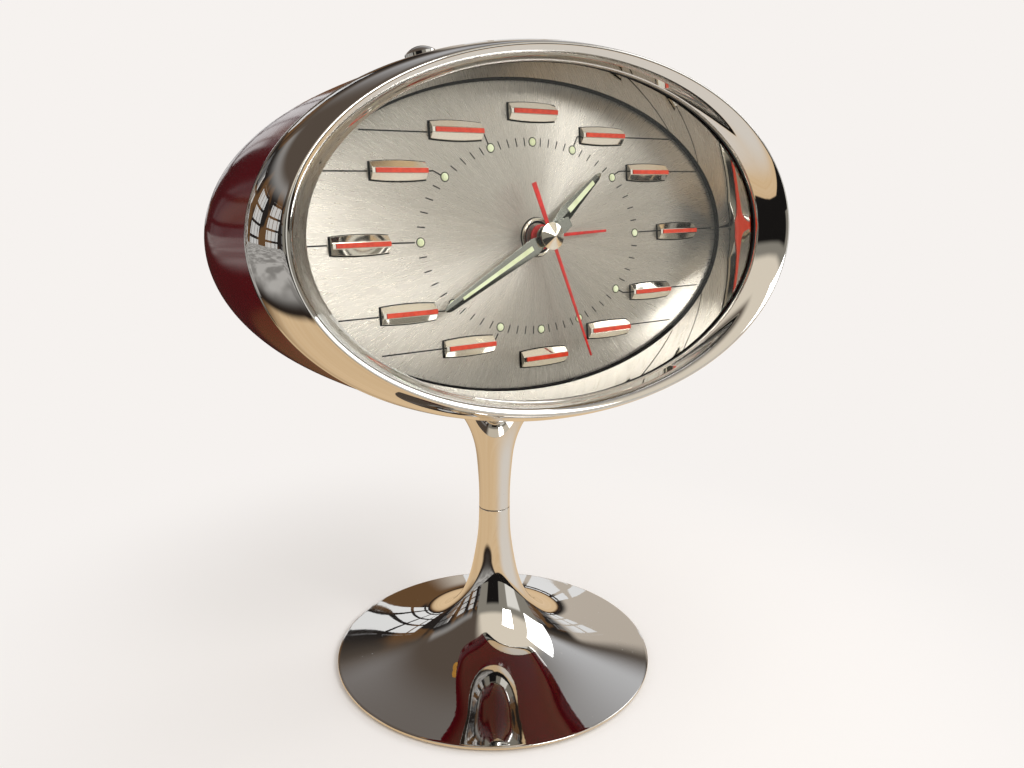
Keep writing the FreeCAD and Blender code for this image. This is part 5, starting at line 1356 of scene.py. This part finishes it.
@dataclass(frozen=True)
class Hand:
    """One hand, drawn pointing up: a roofed blade and its lume on a turned boss.

    A blade is an outline of distances along the hand and half widths there, an edge height and
    the height of its middle line over the edge. The boss is a profile of radii and heights. The
    lume's place is its height over the hand's level and its own edge and roof.
    """

    name: str
    node: str
    body: str
    slot: str
    finish: Finish
    turn: Turn
    level: float
    blade: Outline
    edge: float
    roof: float
    boss: Outline
    cut: float
    lume: Outline = ()
    lume_place: Triple = (0.35, 0.16, 0.1)
    bevel: float = 0.0
    sharp: float = 35.0

    def build(self, shop: Workshop) -> None:
        """Makes the hand and its lume.

        Args:
            shop: the workshop.
        """
        profile = [(radius, self.level + height) for radius, height in self.boss]
        boss = Shape().grid(lathe(rounded(profile, [0, 0, self.cut, 0], 4), 64), caps="start end")
        whole = Shape().take(self._blade(self.blade, self.level, self.edge, self.roof), boss)
        shop.piece(self.name, whole, self.finish, self.body, [self.node], self._turned,
                   bevel=self.bevel, sharp=self.sharp)
        if self.lume:
            over, edge, roof = self.lume_place
            lume = self._blade(self.lume, self.level + over, edge, roof)
            shop.piece(self.name + "_lume", lume, shop.palette.lume, self.body,
                       [self.node + "_lume"], self._turned)

    def _turned(self, points: np.ndarray) -> np.ndarray:
        """World points of the hand's own points: turned clockwise and put on the head.

        Args:
            points: rows of x, y and z of the hand that points up.

        Returns:
            The same points on the table.
        """
        angle = -math.radians(self.turn.value)
        sine, cosine = math.sin(angle), math.cos(angle)
        spin = np.array([(cosine, -sine, 0), (sine, cosine, 0), (0, 0, 1)])
        return HEAD(points @ spin.T)

    @staticmethod
    def _blade(outline: Outline, low: float, edge: float, roof: float) -> Shape:
        """Roof-shaped blade: its section has a low edge, a raised middle and a flat back.

        Args:
            outline: distances along the hand and half widths there.
            low: height of its back.
            edge: height of its edge.
            roof: height of its middle line over the edge.

        Returns:
            The blade.
        """
        along, half = np.array(outline).T
        x = np.stack([-half, -half, 0 * half, half, half], axis=1)
        z = np.array([0.0, edge, edge + roof, edge, 0.0]) + 0 * x + low
        return Shape().grid(np.stack([x, along[:, None] + 0 * x, z], axis=-1), caps="start end")


@dataclass(frozen=True)
class Hands:
    """Hour, minute, second and alarm hands with their bosses, and the cap over them."""

    cap: Outline = ((3.4, 0.0), (3.5, 0.4), (0.2, 1.66))
    cap_level: float = 6.55
    facets: int = 20
    facet_turn: float = 8.0

    def build(self, shop: Workshop) -> None:
        """Makes the four hands and the cap.

        Args:
            shop: the workshop.
        """
        red, nickel = shop.palette.red, shop.palette.nickel
        hands = (
            Hand("alarm_pointer", "alarm_hand", "alarm_indicator", "red_paint", red, Turn.ALARM,
                 1.8, ((-0.5, 0.5), (21.7, 0.32)), 0.2, 0.1,
                 ((1.5, 0.0), (3.2, 0.0), (3.2, 0.35), (1.5, 0.45)), 0.15),
            Hand("hour_pointer", "hour_hand", "hour_train", "hand_chrome", nickel, Turn.HOUR, 3.7,
                 ((-5.5, 1.85), (0.0, 1.6), (4.0, 1.3), (8.9, 2.0), (9.6, 1.95), (23.3, 0.85),
                  (24.5, 0.35)), 0.2, 0.3,
                 ((1.2, 0.0), (2.7, 0.0), (2.7, 0.4), (1.2, 0.5)), 0.15,
                 ((9.9, 0.72), (21.0, 0.55)), bevel=0.05, sharp=15.0),
            Hand("minute_pointer", "minute_hand", "minute_train", "hand_chrome", nickel,
                 Turn.MINUTE, 5.1,
                 ((-7.8, 1.35), (-5.0, 1.85), (0.0, 1.3), (2.0, 1.3), (5.0, 2.15), (5.6, 2.1),
                  (34.0, 0.95), (35.2, 0.4)), 0.3, 0.12,
                 ((0.9, 0.0), (2.6, 0.0), (2.6, 0.5), (0.9, 0.6)), 0.2,
                 ((6.0, 0.62), (29.7, 0.36)), bevel=0.05, sharp=15.0),
            Hand("sweep_pointer", "second_hand", "seconds_train", "hand_chrome", red, Turn.SECOND,
                 6.3, ((-14.0, 0.7), (0.0, 0.5), (33.5, 0.28)), 0.15, 0.08,
                 ((0.4, 0.0), (2.0, 0.0), (2.0, 0.25), (0.4, 0.25)), 0.05))
        for hand in hands:
            hand.build(shop)
        self._cap(shop)

    def _cap(self, shop: Workshop) -> None:
        """Faceted cap: a ring of flat facets that rise to a point.

        Args:
            shop: the workshop.
        """
        turn = np.arange(self.facets) * FULL_TURN / self.facets + math.radians(self.facet_turn)
        radius, height = (column[:, None] for column in np.array(self.cap).T)
        rows = [radius * np.cos(turn), radius * np.sin(turn), self.cap_level + height + 0 * turn]
        shop.piece("pointer_cap", Shape().grid(np.stack(rows, axis=-1), caps="start end"),
                   shop.palette.trim, "seconds_train", ["hand_cap"], HEAD,
                   bevel=0.08, sharp=8.0)


# Back, button and movement

@dataclass
class Back:
    """Controls and screws on the back, the stop button and the works inside."""

    def build(self, shop: Workshop) -> None:
        """Dresses the carried-over nodes.

        Args:
            shop: the workshop.
        """
        palette = shop.palette
        for finish, names in (
                (palette.cover, ["rear_cover"]),
                (palette.black, ["time_set_knob", "alarm_set_knob"]),
                (palette.chrome, ["alarm_stop_button"]),
                (palette.brass, ["front_plate", "back_plate", "plate_pillars", "centre_bridge"]),
                (palette.wheel_brass, [
                    "winding_key", "alarm_winding_key", "centre_wheel", "hour_wheel", "alarm_wheel",
                    "minute_wheel", "third_wheel", "seconds_wheel", "escape_wheel", "balance_wheel",
                    "great_wheel", "alarm_great_wheel", "alarm_escape_wheel"]),
                (palette.steel, [
                    "cover_screws", "regulator", "plate_screws", "movement_screws", "cannon_pinion",
                    "pallet_lever", "winding_arbor", "alarm_winding_arbor", "alarm_hammer",
                    "alarm_bell", "bell_post"]),
                (palette.blued, ["hairspring", "mainsprings"])):
            shop.carry(names, finish)


@dataclass
class ButtonSpring:
    """Coil spring under the stop button."""

    coil: float = 2.15
    wire: float = 0.25
    length: float = 4.25
    turns: int = 3
    node: str = "button_spring"
    joint: str = "stop_button_press"

    def build(self, shop: Workshop) -> None:
        """Winds the spring along its joint about the middle of its node, and gives it a mesh of its
        own.

        Args:
            shop: the workshop.
        """
        press = next(joint for joint in frame["record"]["behaviour"]["joints"]
                     if joint["name"] == self.joint)
        axis = Vector(press["axis"])
        vertices = frame["nodes"][self.node].data.vertices
        corners = np.empty(3 * len(vertices))
        vertices.foreach_get("co", corners)
        middle = corners.reshape(-1, 3).mean(axis=0) / MM
        turn = np.array(axis.to_track_quat("Z", "Y").to_matrix())
        made = shop.piece("button_coil", self._coil(), shop.palette.steel, ROOT, [self.node],
                          lambda points: points @ turn.T + middle)
        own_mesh(made)

    def _coil(self) -> Shape:
        """Round wire wound about Z, with its middle at the origin.

        Its middle line is (r cos t, r sin t, h t), and each section is a circle of the outward
        direction and the one across the wire.

        Returns:
            The coil with closed ends.
        """
        turn = np.linspace(0.0, FULL_TURN * self.turns, 36 * self.turns + 1)
        rise = (self.length - 2 * self.wire) / turn[-1]
        flat = 0 * turn
        out = np.column_stack([np.cos(turn), np.sin(turn), flat])
        along = np.column_stack([-self.coil * np.sin(turn), self.coil * np.cos(turn), rise + flat])
        across = np.cross(out, along / np.linalg.norm(along, axis=1)[:, None])
        line = self.coil * out + np.column_stack([flat, flat, rise * (turn - turn[-1] / 2)])
        around = np.linspace(0.0, FULL_TURN, 12, endpoint=False)[None, :, None]
        section = np.cos(around) * out[:, None] + np.sin(around) * across[:, None]
        return Shape().grid(line[:, None] + self.wire * section, caps="start end")


# Studio

@dataclass
class Studio:
    """Pale floor, soft light, a plain room for the chrome to reflect, and the camera.

    The camera's place is in millimetres, its angles in radians and its focal length in pixels
    of a picture of the given width. Pairs are azimuths between which the room shows something.
    """

    eye: tuple[float, float, float] = (-127.2, -194.6, 147.4)
    yaw: float = -0.600
    pitch: float = 0.2553
    roll: float = -0.011
    focal: float = 829.0
    picture: float = 1024.0
    sensor: float = 36.0
    pale: Colour = srgb("F6F2EF")
    dark: Colour = srgb("1B1918")
    soft_edge: float = 0.04
    windows: tuple[float, float] = (0.5, 1.65)
    left_windows: tuple[float, float] = (1.9, 2.9)
    light_wall: tuple[float, float] = (0.45, 1.1)
    light_top: tuple[float, float] = (1.75, 2.9)
    front_window: tuple[float, float] = (-1.31, -0.6)
    dark_strip: tuple[float, float] = (-2.62, -1.83)

    def build(self) -> None:
        """Makes the floor, the lamps, the room and the camera."""
        self._camera()
        self._floor()
        self._lamp("key_lamp", (0.16, -0.85, 0.7), 0.44, 4.5)
        self._lamp("side_lamp", (0.95, -0.2, 0.75), 0.6, 2.5)
        self._room()
        bpy.context.scene.view_settings.view_transform = "Standard"

    def _camera(self) -> None:
        """Camera from the eye point and the three angles of the photograph's view."""
        forward = np.array([-math.sin(self.yaw) * math.cos(self.pitch),
                            math.cos(self.yaw) * math.cos(self.pitch), -math.sin(self.pitch)])
        right = np.array([math.cos(self.yaw), math.sin(self.yaw), 0.0])
        down = np.cross(forward, right)
        side = math.cos(self.roll) * right + math.sin(self.roll) * down
        below = -math.sin(self.roll) * right + math.cos(self.roll) * down
        data = bpy.data.cameras.new("view")
        data.sensor_width = self.sensor
        data.lens = self.focal / self.picture * self.sensor
        data.clip_start = 0.01
        made = link(bpy.data.objects.new("view", data))
        place = Matrix.Translation([part * MM for part in self.eye])
        made.matrix_world = place @ facing(side, -below, -forward)
        bpy.context.scene.camera = made

    def _floor(self) -> None:
        """Wide pale floor, which near the clock keeps the shadow and further out is the backdrop.

        The chrome sees it as the warm table top that fades into the dark room, with a painted
        highlight on the table in front and to the right.
        """
        corners = np.array([(-4, -4, 0), (4, -4, 0), (4, 4, 0), (-4, 4, 0)], float)
        mesh = bpy.data.meshes.new("floor")
        mesh.from_pydata(corners.tolist(), [], [(0, 1, 2, 3)])
        floor = link(bpy.data.objects.new("floor", mesh))
        material = bpy.data.materials.new("pale_floor")
        material.use_nodes = True
        bench = Bench(material.node_tree)
        place = bench.place()
        x, y, _ = bench.split(place)
        away = (x * x + y * y) ** 0.5
        cloth = bench.mix(bench.noise(place, 8.0), srgb("F8F5F2"), srgb("FBF8F5"))
        lit = bench.node("ShaderNodeBsdfDiffuse", None, {"Color": cloth})["BSDF"]
        backdrop = bench.blend(away.ramp(0.055, 0.2), lit, bench.glow(self.pale))
        grain = bench.noise(bench.join(x * 4.0, y * 60.0, 0.0), 1.0, 3.0)
        # painted highlight: a pale spot on the table front right, standing for window light
        # reflected off it
        painted_table_highlight = 1.0 - (((x - 0.14) ** 2.0 + (y + 0.14) ** 2.0) ** 0.5).ramp(0.08, 0.22)
        wood = bench.mix(painted_table_highlight, bench.mix(grain, srgb("D9B588"), srgb("EDD2AC")), srgb("E6DED4"))
        table = bench.mix(y.ramp(0.08, 0.24), wood, srgb("6E5236"))
        mottle = bench.noise(place, 5.0).ramp(0.4, 0.6)
        carpet = bench.mix(mottle, srgb("8E8B87"), srgb("BDBAB6"))
        ground = bench.mix((x * -1.0).ramp(0.2, 0.3), srgb("2E2621"), carpet)
        near_edge = (y * -1.0).ramp(0.35, 0.38)
        ground = bench.mix(near_edge, ground, self.dark)
        beside = (x * -1.0).ramp(0.17, 0.2).higher(y.ramp(0.26, 0.3)).higher(away.ramp(0.5, 0.8))
        seen = bench.mix(beside.higher(near_edge), table, ground)
        rays = bench.node("ShaderNodeLightPath")
        bench.end(bench.blend(rays["Is Glossy Ray"], backdrop, bench.glow(seen)))
        mesh.materials.append(material)

    @staticmethod
    def _lamp(name: str, place: Triple, size: float, energy: float) -> None:
        """One soft square lamp that looks at the clock's head.

        Args:
            name: name of the lamp.
            place: its place in metres.
            size: side of its square in metres.
            energy: its power in watts.
        """
        data = bpy.data.lights.new(name, "AREA")
        data.shape = "SQUARE"
        data.size = size
        data.energy = energy
        back = np.array(place) - np.array([0.0, 0.0, 0.1])
        back = back / np.linalg.norm(back)
        side = np.cross([0.0, 0.0, 1.0], back)
        side = side / np.linalg.norm(side)
        lamp = link(bpy.data.objects.new(name, data))
        lamp.matrix_world = Matrix.Translation(place) @ facing(side, np.cross(back, side), back)

    def _room(self) -> None:
        """World: pale behind the clock, and for its chrome a dim room with windows.

        Directions are read as an azimuth atan2(y, x) and a height z. The back is dark, with
        bright panes between dark bars and a lighter piece of wall, the front mid grey with one
        bright window and a dark strip, and the ceiling grey, darker to the left and warm in front.
        """
        world = bpy.data.worlds.new("room")
        bpy.context.scene.world = world
        world.use_nodes = True
        bench = Bench(world.node_tree)
        x, y, z = bench.split(bench.node("ShaderNodeTexCoord")["Generated"])
        azimuth = y.angle(x)
        panes = ((azimuth * 14.0 + 1.2).wave() > -0.25) * (1.0 - ((azimuth * 70.0).wave() > 0.93))
        rails = 1.0 - ((z * 55.0).wave() > 0.82)
        height = z.ramp(-0.05, -0.03) * (1.0 - z.ramp(0.37, 0.39))
        patch = bench.noise(bench.join(x * 2.0, y * 2.0, z * 2.0), 1.6, 2.0).ramp(0.5, 0.58)
        wall = bench.mix(patch, srgb("2A2624"), srgb("6A4E34"))
        upper = bench.mix(self._span(azimuth, self.light_top), srgb("5F554C"), srgb("A3A09D"))
        wall = bench.mix(z.ramp(0.38, 0.55), wall, upper)
        light = self._span(azimuth, self.light_wall) * (1.0 - z.ramp(0.42, 0.5))
        wall = bench.mix(light * z.ramp(0.02, 0.1), wall, srgb("C6BBAE"))
        share = panes * rails * height
        bright = self._span(azimuth, self.windows) * 0.85 + 0.15
        back = bench.mix(share * bright, wall, srgb("F0F0F0"))
        left = self._span(azimuth, self.left_windows) * share
        back = bench.mix(left * 0.8, back, srgb("E4E3E1"))
        window = self._span(azimuth, self.front_window) * z.ramp(-0.06, 0.0)
        window = window * (1.0 - z.ramp(0.34, 0.42))
        front = bench.mix(window, srgb("8F8A80"), srgb("F0EDE6"))
        strip = self._span(azimuth, self.dark_strip) * (1.0 - z.ramp(0.3, 0.4))
        front = bench.mix(strip, front, self.dark)
        walls = bench.mix((y * -1.0).ramp(-0.04, 0.04), back, front)
        ceiling = bench.mix(z.ramp(0.55, 0.95), srgb("C6C6C8"), srgb("78736E"))
        ceiling = bench.mix(x.ramp(-0.1, 0.5), srgb("5C5148"), ceiling)
        ceiling = bench.mix((y * -1.0).ramp(-0.05, 0.25), ceiling, srgb("EADFCD"))
        room = bench.mix(z.ramp(0.48, 0.6), walls, ceiling)
        rays = bench.node("ShaderNodeLightPath")
        plain = bench.mix(rays["Is Diffuse Ray"], self.pale, srgb("DEDCDA"))
        seen = bench.mix(rays["Is Glossy Ray"], plain, room)
        glow = bench.node("ShaderNodeBackground", None, {"Color": seen, "Strength": 1.0})
        bench.node("ShaderNodeOutputWorld", None, {"Surface": glow["Background"]})

    def _span(self, azimuth: Wire, ends: tuple[float, float]) -> Wire:
        """1 where an azimuth lies between two values, with soft ends."""
        edges = [azimuth.ramp(end - self.soft_edge, end + self.soft_edge) for end in ends]
        return edges[0] * (1.0 - edges[1])


def main() -> None:
    logging.basicConfig(level=logging.INFO, format="%(message)s")
    shop = Workshop(Palette())
    case = Case()
    Stand().build(shop, case.underside)
    for assembly in (case, Dial(), Hands(), Back(), ButtonSpring()):
        assembly.build(shop)
        LOG.info("%s done", type(assembly).__name__)
    Studio().build()


if __name__ == "__main__":
    main()
